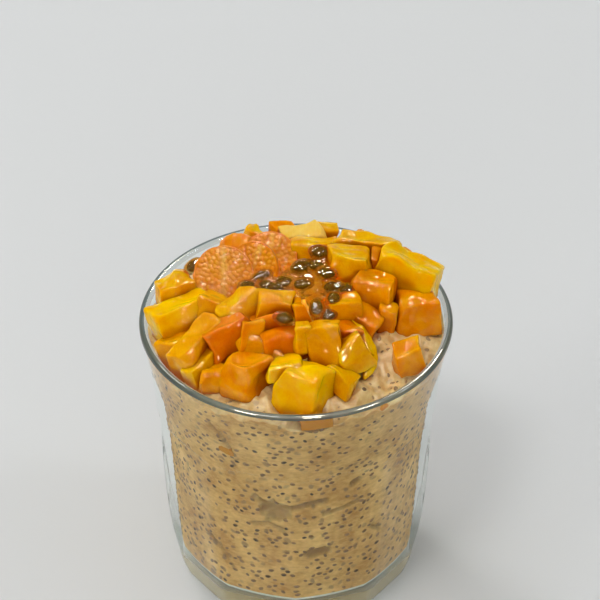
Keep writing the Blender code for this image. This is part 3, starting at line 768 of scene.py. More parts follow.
@dataclass(frozen=True)
class PassionSeedCoat(Finish):
    """A passion fruit seed: a hard olive-brown husk with shallow pits, under its wet sac."""

    pale: str = "#38301A"
    dark: str = "#0C0A05"
    pit: float = 0.55            # width and depth of the pits
    pit_depth: float = 0.1

    def shader(self, tree: Tree, place: Socket) -> Node:
        """A matt husk, darker in its pits; the sac over it gives the wet shine.

        Args:
            tree: The material's node tree.
            place: Each point's place.

        Returns:
            The node that the surface takes.
        """
        pits = add_node(tree, "TexVoronoi", {"Scale": per_metre(self.pit)}, {"Vector": place})
        share = add_node(tree, "MapRange", {"From Min": 0.1, "From Max": 0.7}, {"Value": pits})
        colour = add_node(tree, "Mix", {"data_type": "RGBA", 6: self.dark, 7: self.pale}, {0: share})
        relief = add_node(tree, "Bump", {"Strength": 0.4, "Distance": self.pit_depth * MM},
                          {"Height": pits})
        return add_node(tree, "BsdfPrincipled", {
            "Roughness": 0.55, "IOR": 1.33, "Specular IOR Level": 0.0},
            {"Base Color": colour, "Normal": relief})


@dataclass(frozen=True)
class JuiceSac(Finish):
    """The runny sac round a passion fruit seed: clear orange-brown jelly, as wet as water."""

    tint: str = "#F4DC80"
    cloud: str = "#966408"
    cloudiness: float = 0.36
    index: float = 1.1           # near to that of the juice round it, so it bends little
    wave_span: float = 2.4
    wave_depth: float = 0.5

    def shader(self, tree: Tree, place: Socket) -> Node:
        """Jelly that is part clear and part cloudy, and lets light through to the seed.

        Args:
            tree: The material's node tree.
            place: Each point's place.

        Returns:
            The node that the surface takes.
        """
        shine = {"Coat Weight": 1.0, "Coat Roughness": 0.03, "Coat IOR": JUICE_INDEX}
        ripple = add_node(tree, "TexNoise", {"Scale": per_metre(self.wave_span), "Detail": 0.0},
                          {"Vector": place})
        wave = add_node(tree, "Bump", {"Strength": 1.0, "Distance": self.wave_depth * MM},
                        {"Height": ripple})
        waves = {"Normal": wave, "Coat Normal": wave}
        clear = add_node(tree, "BsdfPrincipled", {
            "Base Color": self.tint, "Roughness": 0.12, "IOR": self.index, "Transmission Weight": 1.0,
            **shine}, waves)
        cloudy = add_node(tree, "BsdfPrincipled", {
            "Base Color": self.cloud, "Roughness": 0.4, "IOR": 1.33, "Specular IOR Level": 0.0,
            "Subsurface Weight": 0.6, "Subsurface Radius": (1.0, 0.45, 0.1), "Subsurface Scale": 1.5 * MM,
            **shine}, waves)
        jelly = add_node(tree, "MixShader", {0: self.cloudiness}, {1: clear, 2: cloudy})
        pane = add_node(tree, "BsdfTransparent", {"Color": self.tint})
        shadow = add_node(tree, "LightPath").outputs["Is Shadow Ray"]
        return add_node(tree, "MixShader", links={0: shadow, 1: jelly, 2: pane})


@dataclass(frozen=True)
class TableCloth(Finish):
    """Plain pale grey cotton on the table: matt, with a weave too fine to show but as a faint grain."""

    colour: str = "#D6D7D6"
    thread: float = 1.2          # coarser than the real thread, so that a trace of it shows

    def shader(self, tree: Tree, place: Socket) -> Node:
        """A matt surface with a faint grain.

        Args:
            tree: The material's node tree.
            place: Each point's place.

        Returns:
            The node that the surface takes.
        """
        grain = add_node(tree, "TexNoise", {"Scale": per_metre(self.thread), "Detail": 2.0},
                         {"Vector": place})
        relief = add_node(tree, "Bump", {"Strength": 0.12, "Distance": 0.1 * MM}, {"Height": grain})
        return add_node(tree, "BsdfPrincipled", {
            "Base Color": self.colour, "Roughness": 0.9, "Specular IOR Level": 0.1}, {"Normal": relief})


class Flesh(Enum):
    """The fruit fleshes that the dice are cut from, by how ripe they look."""

    MANGO = CutFruit("mango_flesh_wet", "#F2BC00", "#E08C00")
    MANGO_PALE = CutFruit("mango_flesh_pale", "#F0CC66", "#E8B038", juice=0.5)
    MANGO_LEMON = CutFruit("mango_flesh_lemon", "#F6C400", "#EEA200", juice=0.8)
    MANGO_RIPE = CutFruit("mango_flesh_ripe", "#F0AC00", "#DA8000")
    PAPAYA = CutFruit("papaya_flesh_wet", "#F0A000", "#DC7600")
    PAPAYA_DEEP = CutFruit("papaya_flesh_deep", "#EE8A00", "#D86A00")
    PAPAYA_GLOSSY = CutFruit("papaya_flesh_glossy", "#F2A800", "#DE7C00", damp=0.8)
    # At the glass, its painted shade in the crevices is kept near its deep colour.
    AT_GLASS = CutFruit("mango_flesh_on_glass", "#E49C1C", "#D68A10", painted_crevice_shade="#CE8618", scatter=0.5,
                        juice=0.0)


# ------------------------------------------------------------------ the glass
@dataclass
class Tumbler:
    """The pressed tumbler: ten flats below a shoulder, a round flared band and a thick base."""

    height: float
    rim_radius: float
    rim_wall: float = 2.4
    rim_bead: tuple[float, float, int] = (-8, 188, 19)   # the rounding: from, to and rings
    rim_height: float = 82.9     # the rim's finish starts here
    base: float = 7.4
    base_finish: float = 1.0     # the cavity's finish starts this far over the base
    flats: int = 10
    corner_ease: float = 0.35    # reach of the rounding along the corners and the shoulder
    foot_radius: float = 31.6
    foot_level: float = 0.4      # where the flats cut deeper, the foot follows the outside here
    foot_ease: float = 0.35      # how far the foot's edge is eased, up and inwards
    foot_recess: float = 0.6     # the foot is hollowed a little, so that it stands on a ring
    foot_ring: float = 28.0
    foot_step: float = 0.8       # width of the step from the hollow down to the ring
    foot_shares: Sequence[float] = (0.3, 0.6, 0.9, 0.97)   # rings over the hollow
    outer_levels: Sequence[tuple[float, float, int]] = (   # rings up the outside, as for the bead
        (0.8, 1.5, 2), (2.5, 54, 46), (55, 62, 29), (63, 82, 22))
    inner_top: float = 81.8      # the inner wall starts here, in this many rings
    inner_rows: int = 60
    cavity_corner: float = 2.0
    cavity_bend: tuple[float, float, int] = (-10, -90, 10)
    base_shares: Sequence[float] = (0.8, 0.5, 0.2)
    columns: int = 360
    body: Profile = field(default_factory=lambda: [
        (0.7, 32.6), (2.2, 33.3), (9.0, 35.0), (18.0, 36.9), (30.0, 38.3), (45.0, 39.4), (57.0, 39.9),
        (62.0, 40.2), (70.0, 41.2), (79.0, 43.0), (82.8, 44.0)])
    flats_reach: Profile = field(default_factory=lambda: [
        (-5.0, 32.4), (2.2, 33.7), (9.0, 35.4), (18.0, 37.3), (30.0, 38.7), (45.0, 39.8), (57.0, 40.3),
        (61.0, 44.1), (89.0, 49.4)])
    wall: Profile = field(default_factory=lambda: [
        (9.4, 33.0), (18.0, 33.7), (30.0, 34.4), (45.0, 35.3), (57.0, 36.5), (64.0, 38.3), (70.0, 40.0),
        (75.0, 41.1), (79.0, 41.6), (82.8, 41.6)])
    inner_flats: float = 0.45    # how flat the cavity is behind the flats, low down
    inner_fade: tuple[float, float] = (12.0, 50.0)   # and between which heights that fades out
    # Painted light in the foot: a pale olive matt colour in the wall's finish, up to 11 mm. Painted shade
    # in the rim: a dark grey-green matt colour, and a little of it in the lip.
    finish: Finish = PressedGlass("soda_lime_glass_wall", index=1.012, polish=True, painted_light_share=0.62)
    rim_finish: Finish = PressedGlass("soda_lime_glass_rim", tint="#D2DEDC", painted_light_share=0.84,
                                      painted_light_tint="#2C484A", painted_light_reach=EVERYWHERE)
    inner_finish: Finish = PressedGlass("soda_lime_glass_inside", index=1.012)
    lip_finish: Finish = PressedGlass("soda_lime_glass_lip", tint="#E2E8E5", painted_light_share=0.14,
                                      painted_light_tint="#4A5A52", painted_light_reach=EVERYWHERE)

    def cavity_radius(self, heights: np.ndarray) -> np.ndarray:
        """The inner wall's radius at these heights, above the rounded corner."""
        return fair(self.wall, heights)

    def cavity_at(self, height: float) -> float:
        """The inner wall's radius at one height."""
        return float(self.cavity_radius(np.array([height]))[0])

    def flat_side(self, turn: np.ndarray, reach: float = 1.0) -> np.ndarray:
        """How far out the flats lie.

        Args:
            turn: Bearings, in radians.
            reach: How far out the corners between them lie.

        Returns:
            One radius a bearing.
        """
        half = math.pi / self.flats
        aside = (turn + math.pi / 2) % (2 * half) - half
        return reach * math.cos(half) / np.cos(aside)

    def inner_facet(self, turn: np.ndarray, heights: np.ndarray | float) -> np.ndarray:
        """How far the flats press the inner wall in.

        Args:
            turn: Bearings, in radians.
            heights: The height at each of them, or one for all.

        Returns:
            One share of the wall's radius a bearing.
        """
        low = 1.0 - smooth_step(np.asarray(heights, float), *self.inner_fade)
        return 1.0 + self.inner_flats * low * (self.flat_side(turn) - 1.0)

    def outside(self, turn: np.ndarray, height: float) -> np.ndarray:
        """The outer radius at a height: the round body trimmed by the flats.

        Args:
            turn: Bearings, in radians.
            height: The height.

        Returns:
            One radius a bearing.
        """
        round_ = float(fair(self.body, np.array([height]))[0])
        flat = self.flat_side(turn, float(np.interp(height, *zip(*self.flats_reach))))
        blend = np.clip(0.5 + 0.5 * (flat - round_) / self.corner_ease, 0, 1)
        return flat * (1 - blend) + round_ * blend - self.corner_ease * blend * (1 - blend)

    def build(self) -> Piece:
        """Make the glass from its foot up the outside, over the rim and down the inside.

        Returns:
            The glass.
        """
        turn = all_round(self.columns)
        foot = np.minimum(self.foot_radius, self.outside(turn, self.foot_level) - 2 * self.foot_ease)
        rows = [ring(turn, self.foot_ring * share, self.foot_recess) for share in self.foot_shares]
        rows += [ring(turn, self.foot_ring + self.foot_step, 0.0), ring(turn, foot, 0.0)]
        rows.append(ring(turn, self.outside(turn, self.body[0][0]) - self.foot_ease, self.foot_ease))
        for height in np.concatenate([np.linspace(*levels) for levels in self.outer_levels]):
            rows.append(ring(turn, self.outside(turn, height), height))
        round_ = self.rim_wall / 2
        for angle in np.radians(np.linspace(*self.rim_bead)):
            rows.append(ring(turn, self.rim_radius - round_ + round_ * math.cos(angle),
                             self.height - round_ + round_ * math.sin(angle)))
        for height in np.linspace(self.inner_top, self.base + self.cavity_corner, self.inner_rows):
            rows.append(ring(turn, self.cavity_at(height) * self.inner_facet(turn, height), height))
        foot_of_wall = self.wall[0][1] - self.cavity_corner
        facet = self.inner_facet(turn, self.base)
        for angle in np.radians(np.linspace(*self.cavity_bend)):
            rows.append(ring(turn, (foot_of_wall + self.cavity_corner * math.cos(angle)) * facet,
                             self.base + self.cavity_corner * (1 + math.sin(angle))))
        rows += [ring(turn, foot_of_wall * share * facet, self.base) for share in self.base_shares]
        points, faces = lathe(rows, self.foot_recess, self.base)
        made = dressed("pressed_tumbler", mesh_of((points, faces)), self.finish, ["glass"])
        for finish in (self.rim_finish, self.inner_finish, self.lip_finish):
            made.data.materials.append(finish.material())
        middles = np.array([points[list(face), 2].mean() for face in faces])
        highest = int(np.argmax([row[0, 2] for row in rows]))
        inside = np.arange(len(faces)) // self.columns > highest
        in_cavity = inside & (middles > self.base + self.base_finish)
        index = (middles > self.rim_height) + 2 * in_cavity
        made.data.polygons.foreach_set("material_index", index.astype(np.int32))
        return made


# ------------------------------------------------------------------ the pudding
@dataclass(frozen=True)
class AirPocket:
    """An air pocket that the pudding left at the wall."""

    bearing: float
    height: float
    width: float
    tallness: float
    depth: float
    tilt: float


@dataclass(frozen=True)
class AirGroove:
    """A groove of trapped air at the wall, along (bearing, height) points."""

    radius: float
    route: tuple[tuple[float, float], ...]


@dataclass
class Pudding:
    """The chia pudding: it presses on the wall, heaps up in lumps and carries the fruit."""

    glass: Tumbler
    edge_level: float = 79.0
    crown: float = 8.0           # how much higher its middle is
    crown_fall: float = 1.2      # and how steeply that falls off
    lump: float = 1.2
    lump_span: float = 9.0
    spoonfuls: Sequence[tuple[float, float, float, float]] = (   # each one's place, span and rise
        (-17, 15, 11, 3.0), (23, -17, 5, 1.6), (31, -9, 5, 1.2), (-12, -33, 4.5, 1.4), (16, -34, 5, 0.8),
        (12, 20, 12, 1.6), (30, -14, 6, 1.8), (36, -6, 4, 1.2), (4, -40, 5, -4.5))
    bump: float = 2.2            # height of the bumps that the spoon leaves
    bumps: Layers = ((1.0, 5.5, 5.0), (0.5, 2.8, 7.0), (0.2, 1.2, 9.0))
    fold: float = 2.0            # height and span of the soft folds between them
    fold_span: float = 7.5
    fold_level: float = 0.35     # a fold's share above the surface
    fold_start: float = 0.25     # and how far in from the edge they are full
    lip: float = 0.3             # how far it clings up the wall, and over what span
    lip_span: float = 0.9
    into_wall: float = 0.12      # the pudding reaches this far into the glass, so no air shows
    columns: int = 420
    wall_rows: int = 142
    top_rows: int = 78
    floor_shares: Sequence[float] = (0.15, 0.35, 0.55, 0.75, 0.9)
    floor_bend: tuple[float, float, int] = (-90, -8, 10)
    corner_rows: int = 5         # the last rows of the bend, seen through the foot's corner, painted as a pale highlight
    pockets: Sequence[AirPocket] = (
        AirPocket(-9, 42.5, 8.5, 8.0, 2.4, 8), AirPocket(10, 26.5, 8.0, 3.4, 2.2, 4),
        AirPocket(28, 51.0, 3.4, 2.4, 1.6, 20))
    pocket_ragged: float = 1.2   # how much the cream's roughness frays a pocket's edge
    pocket_steep: tuple[float, float] = (6.0, 1.2)   # how fast it deepens from above and from below
    grooves: Sequence[AirGroove] = (
        AirGroove(1.1, ((-19, 47.5), (-13, 45.0), (-4, 43.8), (6, 45.6), (14, 46.6))),
        AirGroove(0.7, ((13, 41.6), (21, 42.4), (30, 43.6))),
        AirGroove(0.9, ((-46, 25.4), (-40, 23.4), (-34, 20.6))),
        AirGroove(0.8, ((-36, 73.0), (-31, 69.5), (-28, 64.5))),
        AirGroove(0.7, ((38, 31.0), (43, 28.4))),
        AirGroove(0.7, ((-21, 36.6), (-13, 37.8), (-6, 35.8))))
    groove_width: tuple[float, float] = (0.8, 1.8)   # in radii, and how the roughness changes it
    groove_depth: float = 1.6    # in radii
    overhang: float = 2.4        # trapped air runs out this much further below than above
    roughness: Layers = ((0.32, 2.6, 11.0), (0.14, 1.1, 13.0))   # of the cream round trapped air
    pocket_shade_depth: float = 1.2     # air this deep gets the full painted shade in the cream's colour
    seed_size: Place = (2.0, 1.4, 1.3)
    pressed_size: Place = (2.0, 1.35, 0.8)   # a seed that the glass flattens the gel round
    seed_point: float = 0.22
    wall_seeds: int = 1450
    wall_apart: float = 1.65
    wall_band: tuple[float, float] = (10.0, 77.5)
    crowd: tuple[float, float] = (0.6, 0.9)   # a place's chance of a seed, and how that varies
    crowd_span: float = 8.0
    crowd_flat: float = 1.6      # the crowds are this much wider than tall
    crowd_pattern: float = 4.0
    flat_level: float = 40.0     # laid flat, the wall is as wide as it is at this height
    no_air: float = 0.1          # a hollow less deep than this counts as none
    in_air: float = 0.2          # the share of the seeds that stay where there is air
    droop: float = 0.08          # they face a little down
    bared: tuple[float, float] = (0.1, 0.85)   # shares of a half thickness where the gel thins out
    proud: tuple[float, float] = (0.2, 0.37)  # how far a seed stands out of the cream
    wall_lean: float = 0.55      # the spread of the seeds' directions, in radians
    wall_tones: Sequence[float] = (0.0, 0.12, 0.2, 0.28, 0.35, 0.4, 0.45, 0.5, 0.62, 0.95)
    top_seeds: int = 480
    top_apart: float = 1.9
    top_edge: float = 0.9        # they keep this far from the wall
    top_sunk: tuple[float, float] = (0.6, 1.0)   # how deep they lie, in half thicknesses
    top_tone: tuple[float, float] = (0.3, 0.25)  # their tones' middle and spread
    top_step: float = 0.4        # the step over which the top's slope is read
    spacing_play: tuple[float, float] = (0.7, 1.3)   # how much the least distance varies
    tries: int = 40              # draws a seed before a scatter gives up
    wall_chance: int = 31        # what starts the draws, at the wall and on top
    top_chance: int = 47
    finish: Finish = ChiaCream("chia_cream", pale="#F2D290", deep="#D0A05C", sunk_seed="#9A7A58")
    wall_finish: Finish = ChiaCream("chia_cream_on_glass", pale="#F5C87E", deep="#C28C46", gloss=0.0,
                                    roughness=0.7, spot_strength=0.75)
    # A painted highlight: near-white cream along the pudding's bottom rounding, for the light that the
    # glass's inner corner catches.
    painted_corner_highlight: Finish = ChiaCream("painted_highlight_in_foot_corner", pale="#F0F2E6", deep="#E0E0D0",
                                    spot_strength=0.0)
    seed_finish: Finish = ChiaSeedCoat("chia_seed_soaked", pale="#B08858", dark="#4A3822", gloss=0.2)
    wall_seed_finish: Finish = ChiaSeedCoat("chia_seed_on_glass", pale="#A67E58", dark="#443428",
                                            gel="#D4A25C", gloss=0.0)

    def top(self, x: np.ndarray, y: np.ndarray) -> np.ndarray:
        """The height of the pudding's surface.

        Args:
            x: How far right each place is.
            y: How far back it is.

        Returns:
            One height a place.
        """
        edge = self.glass.cavity_at(self.edge_level)
        inward = np.maximum(0.0, 1.0 - (x * x + y * y) / edge ** 2)
        height = self.edge_level + self.crown * inward ** self.crown_fall
        at = np.stack([x, y, np.full_like(x, self.crown)], axis=1)
        height += self.lump * lumps(at, self.lump_span)
        for at_x, at_y, span, rise in self.spoonfuls:
            height += rise * np.exp(-((x - at_x) ** 2 + (y - at_y) ** 2) / span ** 2)
        crease = np.abs(lumps(at, self.fold_span, 3.0))
        height += self.fold * (self.fold_level - crease) * smooth_step(inward, 0.0, self.fold_start)
        height += self.bump * layered(at, self.bumps)
        return height

    def air(self, bearing: np.ndarray, height: np.ndarray) -> np.ndarray:
        """How deep the trapped air goes at places on the wall, 0 where the pudding touches it.

        Args:
            bearing: Degrees from the front, rising to the right.
            height: Heights of the places.

        Returns:
            One depth a place.
        """
        radius = self.glass.cavity_radius(height)
        across = np.radians(bearing) * radius
        rough = layered(np.stack([across, height, np.zeros_like(height)], axis=1), self.roughness)
        depth = np.zeros_like(height)
        for pocket in self.pockets:
            x = across - math.radians(pocket.bearing) * radius
            y = height - pocket.height
            tilt = math.radians(pocket.tilt)
            u = (x * math.cos(tilt) + y * math.sin(tilt)) / (pocket.width / 2)
            v = (y * math.cos(tilt) - x * math.sin(tilt)) / (pocket.tallness / 2)
            inside = 1.0 - np.hypot(u, v) + rough * self.pocket_ragged
            steep = np.where(v > 0, *self.pocket_steep)
            depth = np.maximum(depth, pocket.depth * np.sqrt(np.clip(steep * inside, 0, 1)))
        usual, frayed = self.groove_width
        for groove in self.grooves:
            far = np.full_like(height, np.inf)
            route = [(math.radians(b), h) for b, h in groove.route]
            for (b0, h0), (b1, h1) in zip(route, route[1:]):
                start = np.stack([b0 * radius, np.full_like(radius, h0)], axis=1)
                way = np.stack([(b1 - b0) * radius, np.full_like(radius, h1 - h0)], axis=1)
                here = np.stack([across, height], axis=1) - start
                share = np.clip((here * way).sum(1) / (way * way).sum(1), 0, 1)
                away = here - way * share[:, None]
                away[:, 1] = np.where(away[:, 1] < 0, away[:, 1] / self.overhang, away[:, 1])
                far = np.minimum(far, np.linalg.norm(away, axis=1))
            inside = 1.0 - far / (groove.radius * (usual + frayed * rough))
            depth = np.maximum(depth, self.groove_depth * groove.radius * np.clip(inside, 0, 1))
        return depth

    def build(self) -> Piece:
        """Make the pudding from its middle below, out and up the wall, and in over its top.

        Returns:
            The pudding.
        """
        turn = all_round(self.columns)
        bearing = (np.degrees(turn) + 90 + 180) % 360 - 180
        lowest, foot = self.glass.wall[0]
        foot -= self.glass.cavity_corner
        bend = self.glass.cavity_corner + self.into_wall
        floor = self.glass.base - self.into_wall
        bend_level = floor + self.into_wall + self.glass.cavity_corner
        facet = self.glass.inner_facet(turn, floor)
        rows = [ring(turn, foot * share * facet, floor) for share in self.floor_shares]
        for angle in np.radians(np.linspace(*self.floor_bend)):
            rows.append(ring(turn, (foot + bend * math.cos(angle)) * facet,
                             bend_level + bend * math.sin(angle)))
        edge = self.glass.cavity_at(self.edge_level) + self.into_wall
        brim = self.top(edge * np.cos(turn), edge * np.sin(turn)) + self.lip
        wall_start = len(rows)
        hollows = []
        for level in np.linspace(0, 1, self.wall_rows):
            height = lowest + (brim - lowest) * level
            air = self.air(bearing, height)
            # how deep the hollow is, which the cream at the wall reads for its painted shade
            hollows.append(smooth_step(air, 0.0, self.pocket_shade_depth))
            wall = self.glass.cavity_radius(height) * self.glass.inner_facet(turn, height)
            rows.append(ring(turn, wall + self.into_wall - air, height))
        wall_end = len(rows) - 1
        rim = self.glass.cavity_radius(brim) + self.into_wall
        for share in np.linspace(1, 0, self.top_rows)[1:-1]:
            radius = rim * share
            lip = self.lip * np.exp(-(rim - radius) / self.lip_span)
            rows.append(ring(turn, radius, self.top(radius * np.cos(turn), radius * np.sin(turn)) + lip))
        centre = float(self.top(np.zeros(1), np.zeros(1))[0])
        points, faces = lathe(rows, floor, centre)
        made = dressed("chia_pudding", mesh_of((points, faces)), self.finish, ["pudding"])
        for finish in (self.wall_finish, self.painted_corner_highlight):
            made.data.materials.append(finish.material())
        index = np.zeros(len(faces), np.int32)
        index[:wall_end * self.columns] = 1
        # the painted highlight along the foot's corner
        index[(wall_start - self.corner_rows) * self.columns:(wall_start - 1) * self.columns] = 2
        index[-2 * self.columns::2] = 1   # round the middle point below
        made.data.polygons.foreach_set("material_index", index)
        hollow = np.zeros(len(points))
        hollow[wall_start * self.columns:(wall_end + 1) * self.columns] = np.concatenate(hollows)
        mark_points(made.data, "hollow", hollow)
        return made

    def scatter(self, count: int, apart: float, draw: random.Random, spot: Callable[[], Vector | None]
                ) -> list[Vector]:
        """Draw places until there are enough that keep their distance.

        Args:
            count: How many are wanted.
            apart: The least distance between two.
            draw: The source of chance, which spot draws from too.
            spot: Draws one place, or nothing where none may be.

        Returns:
            The places.
        """
        found: list[Vector] = []
        taken = np.zeros((count, 3))
        for _ in range(count * self.tries):
            if len(found) == count:
                break
            place = spot()
            if place is None:
                continue
            near = taken[:len(found)] - np.array(place)
            room = apart * draw.uniform(*self.spacing_play) if found else 0.0
            if (np.einsum("ij,ij->i", near, near) < room ** 2).any():
                continue
            taken[len(found)] = place
            found.append(place)
        return found

    def sow_wall(self) -> Piece:
        """Press chia seeds against the glass.

        Returns:
            All of them, as one piece.
        """
        draw = random.Random(self.wall_chance)
        radius = self.glass.cavity_at(self.flat_level)
        half_round = math.pi * radius
        usual, varied = self.crowd

        def spot() -> Vector | None:
            """Draw a place on the wall laid flat.

            Returns:
                The place, or nothing where few seeds gather.
            """
            across, height = draw.uniform(-half_round, half_round), draw.uniform(*self.wall_band)
            at = Vector((across, height * self.crowd_flat, self.crowd_pattern)) / self.crowd_span
            kept = draw.random() < usual + varied * noise.noise(at)
            return Vector((across, height, 0.0)) if kept else None

        flat = self.scatter(self.wall_seeds, self.wall_apart, draw, spot)
        bearings = np.array([math.degrees(place.x / radius) for place in flat])
        heights = np.array([place.y for place in flat])
        facets = self.glass.inner_facet(np.radians(bearings - 90), heights)
        depths = self.air(bearings, heights)
        half_thick = self.pressed_size[2] / 2
        places, tones = [], []
        for bearing, height, deep, wall in zip(bearings, heights, depths,
                                               self.glass.cavity_radius(heights) * facets):
            if deep > self.no_air and draw.random() < 1.0 - self.in_air:
                continue
            angle = math.radians(bearing)
            out = Vector((math.sin(angle), -math.cos(angle), -self.droop)).normalized()
            side = Vector((math.cos(angle), math.sin(angle), 0.0))
            lean = draw.gauss(0.0, self.wall_lean)
            along = side * math.cos(lean) + out.cross(side) * math.sin(lean)
            at = out * (wall + self.into_wall - deep - half_thick + draw.uniform(*self.proud))
            at.z = height
            places.append(frame_of(along, out, at))
            tones.append(draw.choice(self.wall_tones))
        shape = seed_shape(self.pressed_size, sides=12, rings=6, point=self.seed_point)
        seeds = mesh_of(swarm(shape, places))
        made = dressed("chia_seeds_at_wall", seeds, self.wall_seed_finish)
        mark_points(made.data, "tone", np.repeat(tones, len(shape[0])))
        sunk = 1.0 - smooth_step(shape[0][:, 2] / half_thick, *self.bared)
        mark_points(made.data, "sunk", np.tile(sunk, len(places)))
        return made

    def sow_top(self) -> Piece:
        """Lay chia seeds in the pudding's top, most of each one sunk.

        Returns:
            All of them, as one piece.
        """
        draw = random.Random(self.top_chance)
        edge = self.glass.cavity_at(self.edge_level) - self.top_edge

        def spot() -> Vector | None:
            """Draw a place on the top.

            Returns:
                The place, or nothing past its edge.
            """
            x, y = draw.uniform(-edge, edge), draw.uniform(-edge, edge)
            return Vector((x, y, 0.0)) if math.hypot(x, y) < edge else None

        x, y, _ = np.array(self.scatter(self.top_seeds, self.top_apart, draw, spot)).T
        step = self.top_step
        height = self.top(x, y)
        slope_x = (self.top(x + step, y) - height) / step
        slope_y = (self.top(x, y + step) - height) / step
        places, tones = [], []
        for i in range(len(x)):
            up = Vector((-slope_x[i], -slope_y[i], 1.0)).normalized()
            bearing = draw.uniform(0, 2 * math.pi)
            along = Vector((math.cos(bearing), math.sin(bearing), 0.0))
            along = (along - up * along.dot(up)).normalized()
            at = Vector((x[i], y[i], height[i]))
            at = at - up * (self.seed_size[2] / 2) * draw.uniform(*self.top_sunk)
            places.append(frame_of(along, up, at))
            tones.append(min(1.0, max(0.0, draw.gauss(*self.top_tone))))
        shape = seed_shape(self.seed_size, sides=9, rings=7, point=self.seed_point)
        seeds = mesh_of(swarm(shape, places))
        made = dressed("chia_seeds_on_top", seeds, self.seed_finish)
        mark_points(made.data, "tone", np.repeat(tones, len(shape[0])))
        return made


# ------------------------------------------------------------------ diced fruit
@dataclass
class DicedFruit:
    """The mango and papaya dice: each CAD solid given the wet, slightly wavy skin of cut flesh."""

    glass: Tumbler
    voxel: float = 0.28
    ease: int = 2                # rounds of easing, which take the edge off a knife's cut
    film_ease: int = 9           # and those that the juice on it takes off
    plump: float = 0.15          # closes the clearance that the solids keep
    wave: float = 0.55           # height and span of the knife's unevenness
    wave_span: float = 5.5
    ripple: float = 0.16         # height and span of the finer unevenness
    ripple_span: float = 2.6
    warp: float = 2.2            # how far, and over what span, the cuts wander
    warp_span: float = 9.0
    warp_patterns: Place = (21.0, 22.0, 23.0)
    warp_fade: tuple[float, float] = (40.0, 34.0)   # none at the wall, all of it this far in
    same_cut: float = 0.96       # sides that face as alike as this are one cut
    corner: float = 0.7          # a sharp corner may stand this far past the solid's eased one
    cut_share: float = 0.3       # and a side smaller than this share of the largest is no cut
    sides: int = 6               # but that many are, however small
    block: float = 60.0          # the block that a dice is cut from anew
    bent: Sequence[str] = ("mango_curl_right",)
    at_wall: Sequence[str] = ("mango_bit_crease", "mango_sliver_wall")
    glass_touch: float = 0.25    # fruit at the wall reaches this far into it, so no air shows
    press: float = 1.3           # how far those at the wall are pressed out to it
    toes: dict[str, tuple[Place, Place]] = field(default_factory=lambda: {
        "mango_front": ((1.6, -43.0, 77.8), (10.2, -39.4, 82.0))})   # where a dice leans on the wall
    toe_finish: float = 0.6      # a toe's finish reaches this far past it
    usual: dict[str, Flesh] = field(default_factory=lambda: {
        "mango": Flesh.MANGO, "papaya": Flesh.PAPAYA})
    unusual: dict[Flesh, Sequence[str]] = field(default_factory=lambda: {
        Flesh.MANGO_LEMON: ("mango_front", "mango_front_shelf", "mango_curl_right", "mango_slab_right",
                            "mango_rim_left"),
        Flesh.MANGO_PALE: ("mango_pale_back",),
        Flesh.MANGO_RIPE: ("mango_wedge_left", "mango_strip_center", "mango_slab_center",
                           "mango_under_physalis", "mango_low_left", "papaya_block_center",
                           "papaya_ragged_right"),
        Flesh.PAPAYA_DEEP: ("papaya_wedge_left", "papaya_under_slab", "papaya_dark_right",
                            "papaya_wedge_center"),
        Flesh.PAPAYA_GLOSSY: ("papaya_glossy_left", "papaya_glossy_right"),
        Flesh.AT_GLASS: ("mango_bit_crease", "mango_sliver_wall")})

    def build(self, nodes: dict[str, Piece]) -> list[Piece]:
        """Dress every dice node.

        Args:
            nodes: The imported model's nodes by name.

        Returns:
            One piece a node.
        """
        kinds = {name: name.split("_")[0] for name in sorted(nodes)}
        return [self.dress(name, kind, nodes[name].data) for name, kind in kinds.items()
                if kind in self.usual]

    def flesh(self, name: str, kind: str) -> Finish:
        """Say what one dice is made of.

        Args:
            name: Its node's name.
            kind: The fruit that it is cut from.

        Returns:
            Its finish.
        """
        for flesh, names in self.unusual.items():
            if name in names:
                return flesh.value
        return self.usual[kind].value

    def cuts(self, solid: Mesh) -> list[tuple[Vector, Vector]]:
        """The knife's own cuts: the large flat sides, without the small ones that ease the edges.

        Args:
            solid: The dice's solid, whole.

        Returns:
            A point and a direction for each cut.
        """
        sides: list[list[Any]] = []
        for face in sorted(solid.polygons, key=lambda item: -item.area):
            for side in sides:
                if side[1].normalized().dot(face.normal) > self.same_cut:
                    side[0] += face.center * face.area
                    side[1] += face.normal * face.area
                    side[2] += face.area
                    break
            else:
                sides.append([face.center * face.area, face.normal * face.area, face.area])
        sides.sort(key=lambda side: -side[2])
        least = self.cut_share * sides[0][2]
        return [(total / area, way.normalized()) for number, (total, way, area) in enumerate(sides)
                if number < self.sides or area > least]

    def ways(self) -> list[Vector]:
        """Spread directions over a ball, in which a sharpened dice keeps its reach.

        Returns:
            The directions.
        """
        steps = (-1, 0, 1)
        return [Vector((x, y, z)).normalized() for x in steps for y in steps for z in steps
                if x or y or z]

    def crisp(self, solid: Mesh) -> Mesh:
        """Cut a dice anew, with its edges as sharp as the knife left them.

        Args:
            solid: The dice's solid, whole.

        Returns:
            The sharp dice.
        """
        planes = self.cuts(solid)
        for way in self.ways():
            reach = max(way.dot(point.co) for point in solid.vertices) + self.corner * MM
            planes.append((way * reach, way))
        middle = sum((point.co for point in solid.vertices), Vector()) / len(solid.vertices)
        form = bmesh.new()
        bmesh.ops.create_cube(form, size=self.block * MM, matrix=Matrix.Translation(middle))
        for at, way in planes:
            cut = bmesh.ops.bisect_plane(form, geom=[*form.verts, *form.edges, *form.faces], plane_co=at,
                                         plane_no=way, clear_outer=True)
            rim = [item for item in cut["geom_cut"] if isinstance(item, bmesh.types.BMEdge)]
            if rim:
                bmesh.ops.contextual_create(form, geom=rim)
        return as_mesh(form)

